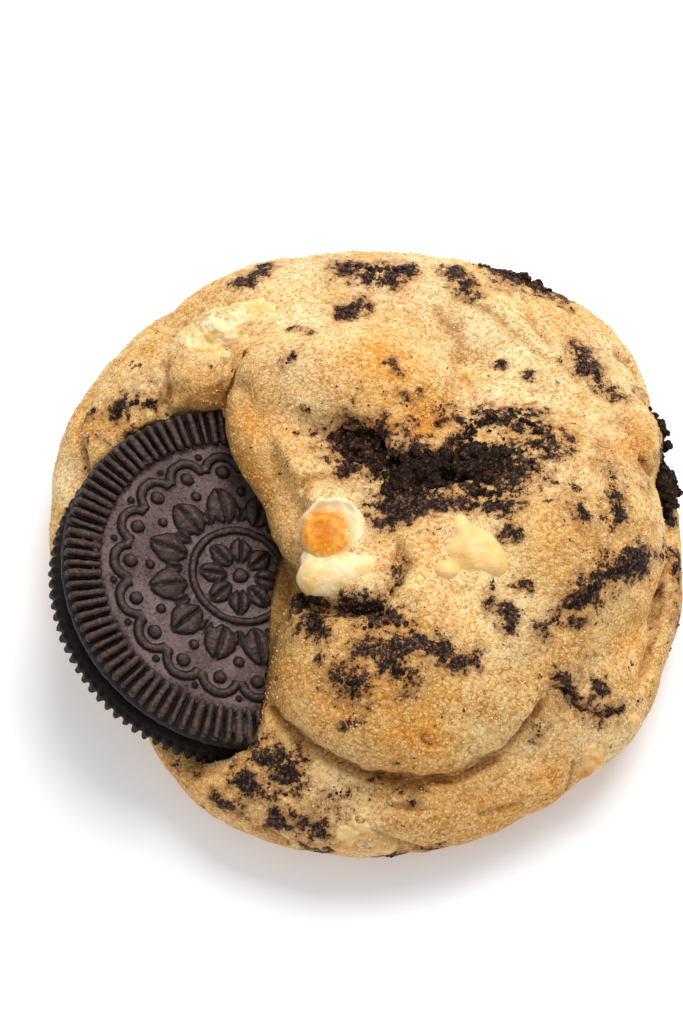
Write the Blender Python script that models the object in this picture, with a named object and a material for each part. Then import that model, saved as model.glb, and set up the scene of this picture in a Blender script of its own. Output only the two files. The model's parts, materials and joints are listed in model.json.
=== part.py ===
"""A thick, soft-baked round cookie of folded dough, with half of a chocolate sandwich cookie
pressed aslant into its left side, white chocolate chips and clumps of dark cookie crumb.

Metres, +Z up. The origin is the middle of the cookie's plan, on the flat face that it rests on.
"""

import math

import bmesh
import bpy
from mathutils import Matrix, Vector, noise

MM = 0.001

# Driving dimensions, in millimetres
SEAT_GAP = 0.3  # left between pieces that touch
DOUGH_VOXEL = 1.1
DOUGH_SHARE_OF_FACES = 0.118
WAFER_RADIUS = 22.4
WAFER_MIDDLE = (-15.9, -5.4, 13.0)  # centre of the upper wafer's widest circle
WAFER_TILT = 18.66  # degrees; the edge outside the dough is raised
WAFER_NOD = 1.57  # degrees towards the front
RIDGES = 96
RIDGE_INNER, RIDGE_OUTER = 17.3, 21.3
RIDGE_DEPTH = 0.55
WAFER_BACK, WAFER_FIELD = -1.3, 1.0  # heights of a wafer's two faces over its widest circle
WAFER_SPACING = 4.9  # between the two wafers' widest circles
CREAM_RADIUS = 19.6
BREAK_FOOT = 1.5  # the broken edge, measured from the wafer's centre line at its front end
BREAK_LEAN = 0.155  # how much the broken edge leans towards the dough
BREAK_BULGE = 0.6

# The folds of dough: middle, half sizes, turn about +Z in degrees, and squareness of the profile
DOUGH_LOBES = {
    "base": ((-0.3, 0.3, 7.0), (39.8, 39.4, 8.8), 0, 2.8),
    "back_left": ((-15.6, 15.8, 10.6), (19.2, 19.6, 8.8), 40, 2.2),
    "back_right": ((17.8, 18.0, 10.5), (18.2, 18.6, 10.0), 0, 2.2),
    "back_fold": ((0.4, 27.7, 13.6), (26.5, 12.3, 9.4), 0, 2.0),
    "dome": ((11.0, -1.0, 10.5), (24.4, 29.4, 14.2), 0, 2.0),
    "front_fold": ((4.2, -14.6, 12.4), (17.8, 17.4, 12.2), 0, 2.0),
    "right_fold": ((20.0, 0.0, 13.5), (17.0, 19.0, 12.0), 0, 2.0),
    "right_knob": ((31.2, 12.3, 13.2), (6.0, 7.6, 7.4), 0, 2.0),
    "right_skirt": ((18.5, -13.0, 8.0), (18.0, 18.0, 10.0), 0, 2.0),
    "pillow": ((-2.6, 17.6, 17.4), (15.6, 9.6, 10.2), -6, 2.0),
    "tail": ((-8.2, 4.0, 15.0), (9.4, 15.4, 8.8), 22, 2.2),
    "chip_mound": ((-3.0, -5.2, 17.6), (7.4, 6.8, 6.6), 0, 2.0),
    "lip": ((3.8, 11.4, 22.0), (3.4, 4.2, 3.0), 0, 2.0),
    "left_knob": ((-20.2, 22.4, 15.6), (4.8, 7.4, 5.6), -40, 2.0),
    "left_rim": ((-26.0, 12.8, 9.0), (12.0, 10.4, 7.4), 0, 2.4),
    "left_shoulder": ((-8.0, 7.5, 8.2), (31.6, 31.4, 7.6), 0, 2.6),
}
# The base is leaner under the sandwich cookie, which hangs over it
LEAN_TOWARDS, LEAN_SPREAD, LEAN_DEPTH = 213.0, 22.0, 0.12  # degrees, degrees, share of its radius
CREVICE = ((6.0, 4.8, 26.8), (10.6, 3.0, 5.4), 4)  # between the pillow and the chips
UNDERCUT = ((-27.0, -25.4, 15.6), (15.0, 12.0, 7.6), 0)  # hollow under the sandwich cookie's front

# The dough's edge on the upper wafer, in the wafer's own plane, from its back end to the break
FLAP_EDGE = ((-3.6, 22.2), (-2.0, 17.0), (0.4, 10.2), (4.8, 2.0), (6.3, -1.1), (4.1, -5.5), (2.9, -16.2))

# White chocolate: middle, half sizes and turn
CHIPS = {
    "browned_chip": ((-4.1, -2.6, 22.6), (3.9, 3.9, 2.6), 0),
    "white_chip_front": ((-2.6, -9.0, 21.4), (4.8, 2.2, 2.2), 32),
    "white_chip_right": ((12.8, -6.4, 23.6), (4.2, 3.2, 2.0), -40),
    "white_chunk_left": ((-20.0, 23.6, 19.4), (3.0, 5.6, 3.0), -46),
    "white_chunk_bottom": ((0.2, -37.4, 8.0), (4.4, 2.4, 2.8), 0),
    "white_chunk_right": ((28.4, -27.4, 8.6), (3.8, 2.4, 3.0), 44),
}

# Dark crumb in clumps: middle, half sizes and turn
CRUMBS = {
    "crumb_crevice_left": ((-1.2, 8.0, 22.4), (4.2, 3.0, 1.8), -20),
    "crumb_crevice_middle": ((6.2, 3.6, 24.0), (4.2, 3.4, 1.8), 30),
    "crumb_crevice_right": ((14.2, 5.0, 24.6), (4.2, 3.2, 1.6), 10),
    "crumb_edge_upper": ((36.6, 15.4, 12.8), (1.7, 3.2, 3.0), 20),
    "crumb_edge_lower": ((37.7, 8.0, 11.8), (1.7, 3.2, 3.0), 8),
    "crumb_back": ((19.2, 34.8, 15.4), (4.6, 1.9, 1.7), -28),
    "crumb_low_left": ((-10.4, -31.4, 11.8), (3.4, 2.6, 1.6), -20),
}

DOUGH_COLOUR = (0.62, 0.40, 0.17)
WAFER_COLOUR = (0.022, 0.014, 0.013)
CREAM_COLOUR = (0.80, 0.74, 0.62)
CHIP_COLOUR = (0.84, 0.68, 0.38)
BROWNED_COLOUR = (0.70, 0.38, 0.10)
CRUMB_COLOUR = (0.020, 0.013, 0.011)

# The plane of the sandwich cookie, from its own flat frame to its place in the dough
WAFER_PLACE = (
    Matrix.Translation(Vector(WAFER_MIDDLE) * MM)
    @ Matrix.Rotation(math.radians(WAFER_NOD), 4, "X")
    @ Matrix.Rotation(math.radians(WAFER_TILT), 4, "Y")
)


def clear_scene():
    for thing in list(bpy.data.objects):
        bpy.data.objects.remove(thing, do_unlink=True)


def material(name, colour, roughness):
    made = bpy.data.materials.new(name)
    made.use_nodes = True
    shader = made.node_tree.nodes["Principled BSDF"]
    shader.inputs["Base Color"].default_value = (*colour, 1)
    shader.inputs["Roughness"].default_value = roughness
    shader.inputs["Metallic"].default_value = 0.0
    return made


def add_object(name, mesh_builder, finish=None):
    """Turns a bmesh in metres into an object, smooth but for its sharp edges."""
    mesh = bpy.data.meshes.new(name)
    bmesh.ops.recalc_face_normals(mesh_builder, faces=mesh_builder.faces)
    mesh_builder.to_mesh(mesh)
    mesh_builder.free()
    mesh.shade_smooth()
    mesh.set_sharp_from_angle(angle=math.radians(40))
    made = bpy.data.objects.new(name, mesh)
    bpy.context.scene.collection.objects.link(made)
    if finish:
        mesh.materials.append(finish)
    return made


def hide_cutter(cutter):
    cutter.hide_render = True
    cutter.display_type = "WIRE"


def cut(piece, cutter, name):
    """Takes the cutter's shape out of the piece."""
    boolean = piece.modifiers.new(name, "BOOLEAN")
    boolean.operation = "DIFFERENCE"
    boolean.solver = "EXACT"
    boolean.object = cutter
    hide_cutter(cutter)


def lobe_place(middle, half_sizes, turn):
    size = Matrix.Diagonal((*(half * MM for half in half_sizes), 1.0))
    return Matrix.Translation(Vector(middle) * MM) @ Matrix.Rotation(math.radians(turn), 4, "Z") @ size


def add_fold(builder, middle, half_sizes, turn, squareness, lean=0.0):
    """Adds one fold of dough. A squareness of 2 is an ellipsoid, and more is flatter on top."""
    ball = bmesh.ops.create_icosphere(builder, subdivisions=5, radius=1.0)["verts"]
    for vert in ball:
        across = math.hypot(vert.co.x, vert.co.y)
        vert.co *= (across**squareness + abs(vert.co.z) ** squareness) ** (-1 / squareness)
        bearing = math.degrees(math.atan2(vert.co.y, vert.co.x)) % 360
        narrowing = 1 - lean * math.exp(-(((bearing - LEAN_TOWARDS) / LEAN_SPREAD) ** 2))
        vert.co.x *= narrowing
        vert.co.y *= narrowing
    bmesh.ops.transform(builder, matrix=lobe_place(middle, half_sizes, turn), verts=ball)


def add_lump(builder, middle, half_sizes, turn, detail, roughness=0.0, seed=0.0):
    """Adds a round lump, its surface pushed in and out by a share of its radius."""
    ball = bmesh.ops.create_icosphere(builder, subdivisions=detail, radius=1.0)["verts"]
    for vert in ball:
        push = noise.noise(vert.co * 1.7 + Vector((seed, 0.0, -seed)))
        vert.co *= 1.0 + roughness * push
    bmesh.ops.transform(builder, matrix=lobe_place(middle, half_sizes, turn), verts=ball)


def broken_edge(along):
    """Distance of the broken edge from the wafer's centre line, at a distance along it."""
    share = (along + WAFER_RADIUS) / (2 * WAFER_RADIUS)
    return BREAK_FOOT + BREAK_LEAN * (along + WAFER_RADIUS) + BREAK_BULGE * math.sin(3 * math.pi * share)


def break_end(radius, side, side_gap):
    """Distance along the centre line at which the broken edge meets a circle."""
    along = side * radius
    for _ in range(8):
        along = side * math.sqrt(radius**2 - (broken_edge(along) + side_gap) ** 2)
    return along


def wafer_rings(toothed):
    """Rings of the wafer from its field out over the rim to its back: radius and height on a
    ridge, and radius and height in the groove beside it."""
    groove = WAFER_FIELD + 0.05
    ridge = groove + RIDGE_DEPTH
    tooth = 0.45 if toothed else 0.0
    return [
        ((RIDGE_INNER - 0.5, WAFER_FIELD), (RIDGE_INNER - 0.5, WAFER_FIELD)),
        ((RIDGE_INNER, ridge), (RIDGE_INNER, groove)),
        ((RIDGE_OUTER, ridge), (RIDGE_OUTER, groove)),
        ((21.9, 1.0), (21.9 - tooth, 1.0)),
        ((WAFER_RADIUS, 0.1), (WAFER_RADIUS - tooth, 0.1)),
        ((22.0, -0.9), (22.0 - tooth, -0.9)),
        ((21.4, WAFER_BACK), (21.4, WAFER_BACK)),
    ]


def add_wafer(name, toothed, face_down, finish):
    """One round wafer with a radially ridged rim, its flat back towards the cream, broken off
    along the edge that lies in the dough."""
    builder = bmesh.new()
    steps = 2 * RIDGES
    rings = []
    for on_ridge, in_groove in wafer_rings(toothed):
        ring = []
        for step in range(steps):
            radius, height = in_groove if step % 2 else on_ridge
            angle = 2 * math.pi * step / steps
            ring.append(builder.verts.new((radius * math.cos(angle), radius * math.sin(angle), height)))
        rings.append(ring)
    for inner, outer in zip(rings, rings[1:]):
        for step in range(steps):
            after = (step + 1) % steps
            builder.faces.new((inner[step], outer[step], outer[after], inner[after]))
    builder.faces.new(rings[0])
    builder.faces.new(rings[-1])
    if face_down:
        bmesh.ops.scale(builder, vec=(1, 1, -1), verts=builder.verts)
        bmesh.ops.translate(builder, vec=(0, 0, -WAFER_SPACING), verts=builder.verts)
    bmesh.ops.scale(builder, vec=(MM, MM, MM), verts=builder.verts)
    bmesh.ops.transform(builder, matrix=WAFER_PLACE, verts=builder.verts)
    return add_object(name, builder, finish)


def add_half_disc(name, radius, low, high, side_gap, finish=None, steps=48):
    """A plain slab of the broken sandwich cookie's outline, for the cream and the dough's seat."""
    builder = bmesh.new()
    start, end = break_end(radius, -1, side_gap), break_end(radius, 1, side_gap)
    along_break = [start + (end - start) * share / 12 for share in range(13)]
    outline = [(broken_edge(along) + side_gap, along) for along in along_break]
    first = math.atan2(outline[-1][1], outline[-1][0])
    last = math.atan2(outline[0][1], outline[0][0]) + 2 * math.pi
    for step in range(1, steps):
        angle = first + (last - first) * step / steps
        outline.append((radius * math.cos(angle), radius * math.sin(angle)))
    loops = []
    for height in (low, high):
        loops.append([builder.verts.new((x, y, height)) for x, y in outline])
    bottom, top = loops
    builder.faces.new(bottom[::-1])
    builder.faces.new(top)
    for at in range(len(outline)):
        after = (at + 1) % len(outline)
        builder.faces.new((bottom[at], bottom[after], top[after], top[at]))
    bmesh.ops.remove_doubles(builder, verts=builder.verts, dist=1e-3)
    bmesh.ops.scale(builder, vec=(MM, MM, MM), verts=builder.verts)
    bmesh.ops.transform(builder, matrix=WAFER_PLACE, verts=builder.verts)
    return add_object(name, builder, finish)


def add_break_cutter():
    """Everything of the sandwich cookie beyond its broken edge."""
    builder = bmesh.new()
    reach = WAFER_RADIUS + 2
    edge = [-reach + 2 * reach * share / 12 for share in range(13)]
    outline = [(broken_edge(along), along) for along in edge]
    outline += [(2 * reach, reach), (2 * reach, -reach)]
    loops = []
    for height in (-WAFER_SPACING - 4, 4):
        loops.append([builder.verts.new((x, y, height)) for x, y in outline])
    bottom, top = loops
    builder.faces.new(bottom)
    builder.faces.new(top)
    for at in range(len(outline)):
        after = (at + 1) % len(outline)
        builder.faces.new((bottom[at], bottom[after], top[after], top[at]))
    bmesh.ops.scale(builder, vec=(MM, MM, MM), verts=builder.verts)
    bmesh.ops.transform(builder, matrix=WAFER_PLACE, verts=builder.verts)
    return add_object("break_cutter", builder)


def add_clear_view():
    """The air over the part of the upper wafer that lies outside the dough."""
    builder = bmesh.new()
    reach = WAFER_RADIUS + 2 * SEAT_GAP
    first = math.atan2(-reach, broken_edge(-reach))
    last = math.atan2(FLAP_EDGE[0][1], FLAP_EDGE[0][0]) - 2 * math.pi
    outline = list(FLAP_EDGE)
    steps = 40
    for step in range(steps):
        angle = first + (last - first) * step / steps
        outline.append((reach * math.cos(angle), reach * math.sin(angle)))
    low = [builder.verts.new((x * MM, y * MM, 0)) for x, y in outline]
    bmesh.ops.transform(builder, matrix=WAFER_PLACE, verts=low)
    high = [builder.verts.new(vert.co + Vector((0, 0, 24 * MM))) for vert in low]
    builder.faces.new(low)
    builder.faces.new(high)
    for at in range(len(outline)):
        after = (at + 1) % len(outline)
        builder.faces.new((low[at], low[after], high[after], high[at]))
    return add_object("clear_view", builder)


def add_dough(finish):
    """The folds melted into one body of dough, flat underneath."""
    builder = bmesh.new()
    for name, (middle, half_sizes, turn, squareness) in DOUGH_LOBES.items():
        add_fold(builder, middle, half_sizes, turn, squareness, LEAN_DEPTH if name == "base" else 0.0)
    dough = add_object("dough", builder, finish)
    melt = dough.modifiers.new("melt", "REMESH")
    melt.mode = "VOXEL"
    melt.voxel_size = DOUGH_VOXEL * MM
    soften = dough.modifiers.new("soften", "SMOOTH")
    soften.factor = 0.5
    soften.iterations = 5
    thin = dough.modifiers.new("thin", "DECIMATE")
    thin.ratio = DOUGH_SHARE_OF_FACES
    floor = bmesh.new()
    bmesh.ops.create_cube(floor, size=1.0)
    bmesh.ops.scale(floor, vec=(120 * MM, 120 * MM, 20 * MM), verts=floor.verts)
    bmesh.ops.translate(floor, vec=(0, 0, -10 * MM), verts=floor.verts)
    cut(dough, add_object("floor_cutter", floor), "flat_underside")
    for name, hollow in (("crevice", CREVICE), ("undercut", UNDERCUT)):
        hollow_builder = bmesh.new()
        add_lump(hollow_builder, *hollow, detail=3)
        cut(dough, add_object(name + "_cutter", hollow_builder), name)
    cut(dough, add_clear_view(), "clear_view")
    return dough


def add_topping(name, place, detail, roughness, finish, dough):
    """A chip or a clump of crumb, and its seat in the dough a little larger all round."""
    middle, half_sizes, turn = place
    seed = sum(ord(letter) for letter in name) * 0.37
    builder = bmesh.new()
    add_lump(builder, middle, half_sizes, turn, detail, roughness, seed)
    topping = add_object(name, builder, finish)
    seat = bmesh.new()
    grown = [half * (1 + roughness / 2) + SEAT_GAP for half in half_sizes]
    add_lump(seat, middle, grown, turn, 2)
    cut(dough, add_object(name + "_seat", seat), name + "_seat")
    return topping


clear_scene()

dough_finish = material("baked_dough", DOUGH_COLOUR, 0.6)
wafer_finish = material("chocolate_wafer", WAFER_COLOUR, 0.5)
cream_finish = material("cream", CREAM_COLOUR, 0.6)
chip_finish = material("white_chocolate", CHIP_COLOUR, 0.4)
browned_finish = material("browned_white_chocolate", BROWNED_COLOUR, 0.4)
crumb_finish = material("dark_crumb", CRUMB_COLOUR, 0.8)

dough = add_dough(dough_finish)

upper_wafer = add_wafer("upper_wafer", False, False, wafer_finish)
lower_wafer = add_wafer("lower_wafer", True, True, wafer_finish)
break_cutter = add_break_cutter()
cut(upper_wafer, break_cutter, "break")
cut(lower_wafer, break_cutter, "break")
cream_top = WAFER_BACK - SEAT_GAP
cream_bottom = -WAFER_SPACING - WAFER_BACK + SEAT_GAP
cream = add_half_disc("cream_filling", CREAM_RADIUS, cream_bottom, cream_top, -0.6, cream_finish)
seat_top = WAFER_FIELD + RIDGE_DEPTH + 2 * SEAT_GAP
seat_bottom = -WAFER_SPACING - seat_top
seat = add_half_disc("sandwich_seat", WAFER_RADIUS + 2 * SEAT_GAP, seat_bottom, seat_top, SEAT_GAP)
cut(dough, seat, "sandwich_seat")

for name, place in CHIPS.items():
    chip_colour = browned_finish if name == "browned_chip" else chip_finish
    add_topping(name, place, 2, 0.10, chip_colour, dough)
for name, place in CRUMBS.items():
    add_topping(name, place, 2, 0.30, crumb_finish, dough)
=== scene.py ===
import json
import math
import random

import bmesh
import bpy
import numpy as np
from mathutils import Matrix, Vector, noise
from mathutils.bvhtree import BVHTree

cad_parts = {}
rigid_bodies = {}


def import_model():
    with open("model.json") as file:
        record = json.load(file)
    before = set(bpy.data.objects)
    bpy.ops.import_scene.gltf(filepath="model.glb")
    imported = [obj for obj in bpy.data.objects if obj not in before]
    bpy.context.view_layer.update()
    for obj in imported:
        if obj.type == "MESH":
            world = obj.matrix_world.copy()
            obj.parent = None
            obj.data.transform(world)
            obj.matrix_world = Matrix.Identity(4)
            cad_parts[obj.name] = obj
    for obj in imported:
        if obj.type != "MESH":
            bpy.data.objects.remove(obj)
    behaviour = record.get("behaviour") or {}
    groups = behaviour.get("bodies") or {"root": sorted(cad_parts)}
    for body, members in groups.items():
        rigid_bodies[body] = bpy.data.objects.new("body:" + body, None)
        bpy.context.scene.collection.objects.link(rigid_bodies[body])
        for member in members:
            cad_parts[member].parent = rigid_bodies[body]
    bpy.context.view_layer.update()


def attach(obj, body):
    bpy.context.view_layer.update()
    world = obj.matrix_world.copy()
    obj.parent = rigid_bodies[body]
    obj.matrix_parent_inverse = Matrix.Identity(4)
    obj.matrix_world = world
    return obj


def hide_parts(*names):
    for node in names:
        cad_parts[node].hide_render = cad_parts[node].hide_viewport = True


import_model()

MM = 0.001

# ---------------------------------------------------------------- studio
# A white sweep under a white sky, one broad softbox behind and to the right, and a weaker one in
# front. The camera looks down steeply on the front of the cookie.

FLOOR_SIZE, FLOOR_HEIGHT = 6000, -0.02
CAMERA_AIM = (-3.10, 8.14, 4.76)
CAMERA_PLACE = (-3.10, -227.94, 468.08)
CAMERA_LENS, CAMERA_SENSOR = 144.8, 36.0
SKY_STRENGTH = 0.58
SOFTBOXES = {
    # place, aim, side length in mm, watts
    "key_softbox": ((110.0, 250.0, 440.0), (0, 0, 0), 360.0, 2.66),
    "front_softbox": ((-260.0, -260.0, 360.0), (0, 0, 0), 320.0, 0.15),
}


def deselect_all():
    for thing in bpy.context.view_layer.objects:
        thing.select_set(False)


def new_material(name):
    made = bpy.data.materials.new(name)
    made.use_nodes = True
    return made, made.node_tree, made.node_tree.nodes["Principled BSDF"]


def set_shader(shader, **values):
    for name, value in values.items():
        shader.inputs[name.replace("_", " ")].default_value = value


deselect_all()
bpy.ops.mesh.primitive_plane_add(size=FLOOR_SIZE * MM, location=(0, 0, FLOOR_HEIGHT * MM))
floor = bpy.context.object
floor.name = "floor"
card, _, card_shader = new_material("white_card")
set_shader(card_shader, Base_Color=(0.88, 0.88, 0.88, 1), Roughness=0.9)
set_shader(card_shader, Emission_Color=(0.95, 0.98, 1.02, 1), Emission_Strength=0.18)
floor.data.materials.append(card)

sky = bpy.data.worlds.new("white_sky")
bpy.context.scene.world = sky
sky.use_nodes = True
sky.node_tree.nodes["Background"].inputs["Color"].default_value = (0.96, 0.985, 1.04, 1)
sky.node_tree.nodes["Background"].inputs["Strength"].default_value = SKY_STRENGTH


def look_at(thing, aim):
    direction = Vector(aim) * MM - thing.location
    thing.rotation_euler = direction.to_track_quat("-Z", "Y").to_euler()


for name, (place, aim, side, watts) in SOFTBOXES.items():
    lamp = bpy.data.lights.new(name, "AREA")
    lamp.shape = "SQUARE"
    lamp.size = side * MM
    lamp.energy = watts
    softbox = bpy.data.objects.new(name, lamp)
    bpy.context.scene.collection.objects.link(softbox)
    softbox.location = Vector(place) * MM
    look_at(softbox, aim)

lens = bpy.data.cameras.new("camera")
lens.lens = CAMERA_LENS
lens.sensor_width = CAMERA_SENSOR
lens.clip_start = 0.01
camera = bpy.data.objects.new("camera", lens)
bpy.context.scene.collection.objects.link(camera)
camera.location = Vector(CAMERA_PLACE) * MM
look_at(camera, CAMERA_AIM)
bpy.context.scene.camera = camera
bpy.context.scene.view_settings.view_transform = "Standard"

# ---------------------------------------------------------------- dough
# One soft ball of butter dough, torn, folded over itself and baked until its humps turned gold.
# The folds ran together in the oven, and only their overlaps still show as creases.

# Each fold: middle, half sizes, turn about +Z in degrees, and squareness of its profile
FOLDS = {
    "base": ((-0.3, 0.3, 7.0), (39.8, 39.4, 8.8), 0, 2.8),
    "back_left": ((-15.6, 15.8, 10.6), (19.2, 19.6, 8.8), 40, 2.2),
    "back_right": ((17.8, 18.0, 10.5), (18.2, 18.6, 10.0), 0, 2.2),
    "back_fold": ((0.4, 27.7, 13.6), (26.5, 12.3, 9.4), 0, 2.0),
    "dome": ((11.0, -1.0, 10.5), (24.4, 29.4, 14.2), 0, 2.0),
    "front_fold": ((4.2, -14.6, 12.4), (17.8, 17.4, 12.2), 0, 2.0),
    "right_fold": ((20.0, 0.0, 13.5), (17.0, 19.0, 12.0), 0, 2.0),
    "right_knob": ((31.2, 12.3, 13.2), (6.0, 7.6, 7.4), 0, 2.0),
    "right_skirt": ((18.5, -13.0, 8.0), (18.0, 18.0, 10.0), 0, 2.0),
    "pillow": ((-2.6, 17.6, 17.4), (15.6, 9.6, 10.2), -6, 2.0),
    "tail": ((-8.2, 4.0, 15.0), (9.4, 15.4, 8.8), 22, 2.2),
    "chip_mound": ((-3.0, -5.2, 17.6), (7.4, 6.8, 6.6), 0, 2.0),
    "chip_side": ((0.6, -9.6, 20.8), (2.6, 2.4, 2.2), 0, 2.0),
    "lip": ((3.8, 11.4, 22.0), (3.4, 4.2, 3.0), 0, 2.0),
    "left_ridge": ((-17.8, 24.4, 15.8), (4.0, 8.0, 5.0), -52, 2.0),
    "left_rim": ((-26.0, 12.8, 9.0), (12.0, 10.4, 7.4), 0, 2.4),
    "left_shoulder": ((-8.0, 7.5, 8.2), (31.6, 31.4, 7.6), 0, 2.6),
}
# The flap that lies over the sandwich cookie ends in a thick rolled edge: middles and radius
FLAP_ROLL = (
    ((-14.7, 17.6, 18.8), 3.4),
    ((-14.5, 15.0, 18.8), 3.4),
    ((-14.2, 12.6, 18.7), 3.4),
    ((-13.4, 10.4, 18.5), 3.5),
    ((-12.4, 8.4, 18.2), 3.5),
    ((-11.3, 6.4, 17.9), 3.3),
    ((-10.1, 4.2, 17.6), 3.2),
    ((-9.3, 2.0, 17.4), 3.1),
    ((-8.7, -0.2, 17.3), 3.1),
    ((-7.6, -2.4, 17.2), 3.2),
    ((-6.0, -4.0, 17.2), 3.2),
    ((-3.6, -4.6, 17.0), 3.2),
    # and a knob hangs over the rim beside it
    ((-20.4, 20.0, 17.6), 4.2),
    ((-22.6, 20.2, 16.8), 3.6),
    ((-21.0, 22.6, 17.0), 3.8),
)
# The base draws in at one bearing, under the sandwich cookie: that bearing and the width of the
# place, in degrees, and the share that it draws in by
LEAN_TOWARDS, LEAN_SPREAD, LEAN_DEPTH = 213.0, 22.0, 0.12
# The grids on which the folds run together
FIRST_VOXEL, LAST_VOXEL = 0.45, 0.37
# The crevice under the pillow: middle, half sizes and turn of each hollow
CREVICE = ((6.0, 4.4, 26.6), (11.5, 3.4, 5.6), 4)
CREVICE_END = ((-1.2, 8.4, 24.6), (4.4, 2.7, 3.6), -28)
UNDER_LIP = ((2.4, 8.2, 20.4), (6.6, 2.8, 2.6), 0)
# The base stays lower where the sandwich cookie hangs over it
UNDERCUT = ((-26.5, -25.0, 14.5), (12.0, 10.0, 7.8), 0)
# The torn gap between the left knob and the pillow
GAP = ((-17.2, 20.2, 22.8), (0.8, 4.4, 3.4), -8)

# The place of the sandwich cookie in the dough: its own flat frame, then tilted and moved
WAFER_RADIUS = 22.4
WAFER_PLACE = (
    Matrix.Translation(Vector((-15.9, -5.4, 13.0)) * MM)
    @ Matrix.Rotation(math.radians(1.57), 4, "X")
    @ Matrix.Rotation(math.radians(18.66), 4, "Y")
)
WAFER_SPACING = 4.9
SEAT_PLAY, SEAT_DEPTH = 0.3, 8.5
# The broken edge: its distance from the centre line at one end, its slope and its bow
BREAK_FOOT, BREAK_LEAN, BREAK_BULGE = 1.5, 0.155, 0.6
# The dough's edge on the upper wafer, in the wafer's own plane, from its back end to the break
FLAP_EDGE = (
    (-1.6, 22.6), (0.2, 17.0), (3.0, 10.2), (7.0, 2.6), (10.4, -1.8), (4.6, -5.5), (2.9, -16.2)
)

# White chocolate chips and chunks, bedded in the dough: the lumps of each, as middle, half sizes
# and turn
CHIPS = {
    "browned_chip": [
        ((-4.1, -3.6, 22.4), (4.2, 4.2, 2.2), 0),
    ],
    "white_chip_front": [
        ((-2.5, -9.0, 21.7), (5.6, 3.0, 2.6), 14),
        ((-5.2, -9.2, 21.3), (3.4, 2.8, 2.4), 0),
        ((-4.4, -6.8, 21.3), (3.8, 2.4, 2.0), 0),
    ],
    "white_chip_right": [
        ((12.8, -6.6, 23.2), (4.0, 3.6, 2.2), -20),
        ((15.0, -8.2, 23.0), (2.4, 2.4, 2.3), 0),
        ((11.6, -4.4, 23.6), (1.7, 3.0, 1.7), 10),
        ((9.4, -9.4, 23.3), (2.0, 1.3, 1.6), -8),
    ],
    "white_chunk_left": [
        ((-19.8, 24.6, 18.4), (3.2, 4.4, 2.6), -50),
        ((-15.2, 27.2, 20.4), (2.2, 5.2, 2.1), -70),
        ((-17.6, 25.8, 20.2), (2.8, 3.2, 2.2), -60),
        ((-18.6, 22.6, 19.6), (2.0, 1.8, 1.6), 20),
    ],
    "white_chunk_bottom": [
        ((-1.7, -36.6, 8.4), (3.9, 2.6, 3.3), 4),
        ((0.9, -37.0, 7.5), (3.0, 2.3, 2.7), -10),
    ],
    "white_chunk_right": [
        ((27.6, -25.9, 9.0), (4.2, 2.3, 3.1), 44),
        ((30.6, -23.2, 9.8), (2.8, 2.0, 2.4), 40),
        ((26.0, -27.8, 8.4), (2.0, 1.9, 2.0), 0),
    ],
}
# The browned chip has a white rim, highest at its back right
RIM_MIDDLE, RIM_RADIUS, RIM_WIDTH = (-4.1, -3.8), 3.5, 0.7
# How far the dough reaches out round a chip, on top and near the foot
CHIP_BED, FOOT_BED, FOOT_TOP = 0.55, -0.28, 12
BED_SINK = 2.2 * CHIP_BED


def take(piece):
    """Selects one object alone and makes it the active one."""
    deselect_all()
    piece.select_set(True)
    bpy.context.view_layer.objects.active = piece


def modify(piece, kind, **settings):
    """Adds one modifier and applies it."""
    take(piece)
    modifier = piece.modifiers.new(kind, kind)
    for name, value in settings.items():
        setattr(modifier, name, value)
    bpy.ops.object.modifier_apply(modifier=modifier.name)


def join(pieces, name):
    deselect_all()
    for piece in pieces:
        piece.select_set(True)
    bpy.context.view_layer.objects.active = pieces[0]
    bpy.ops.object.join()
    joined = bpy.context.object
    joined.name = name
    joined.data.name = name
    return joined


def points_of(piece):
    """The piece's points, in millimetres."""
    points = np.empty(len(piece.data.vertices) * 3)
    piece.data.vertices.foreach_get("co", points)
    return points.reshape(-1, 3) / MM


def set_points(piece, points):
    piece.data.vertices.foreach_set("co", (points * MM).ravel())
    piece.data.update()


def normals_of(piece):
    normals = np.empty(len(piece.data.vertices) * 3)
    piece.data.vertices.foreach_get("normal", normals)
    return normals.reshape(-1, 3)


def bumps(points, size, seed, octaves=1):
    """Smooth noise between about -1 and 1, with humps of a given size in millimetres."""
    shift = Vector((seed * 3.7, seed * -1.9, seed * 5.3))
    if octaves == 1:
        return np.array([noise.noise(Vector(point) / size + shift) for point in points])
    return np.array(
        [noise.fractal(Vector(point) / size + shift, 0.7, 2.1, octaves) for point in points]
    )


def falloff(distance, width):
    """1 at the middle, fading softly to 0."""
    return np.exp(-((distance / width) ** 2))


def spread(points, places):
    """How strongly each point is covered by soft round places: middle, radius and strength."""
    cover = np.zeros(len(points))
    for middle, radius, strength in places:
        distance = np.linalg.norm(points - np.array(middle), axis=1)
        cover = np.maximum(cover, strength * falloff(distance, radius))
    return cover


def distance_to(points, line):
    """Each point's distance from the nearest of a line's points."""
    return np.min(np.linalg.norm(points[:, None, :] - line[None, :, :], axis=2), axis=1)


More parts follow.
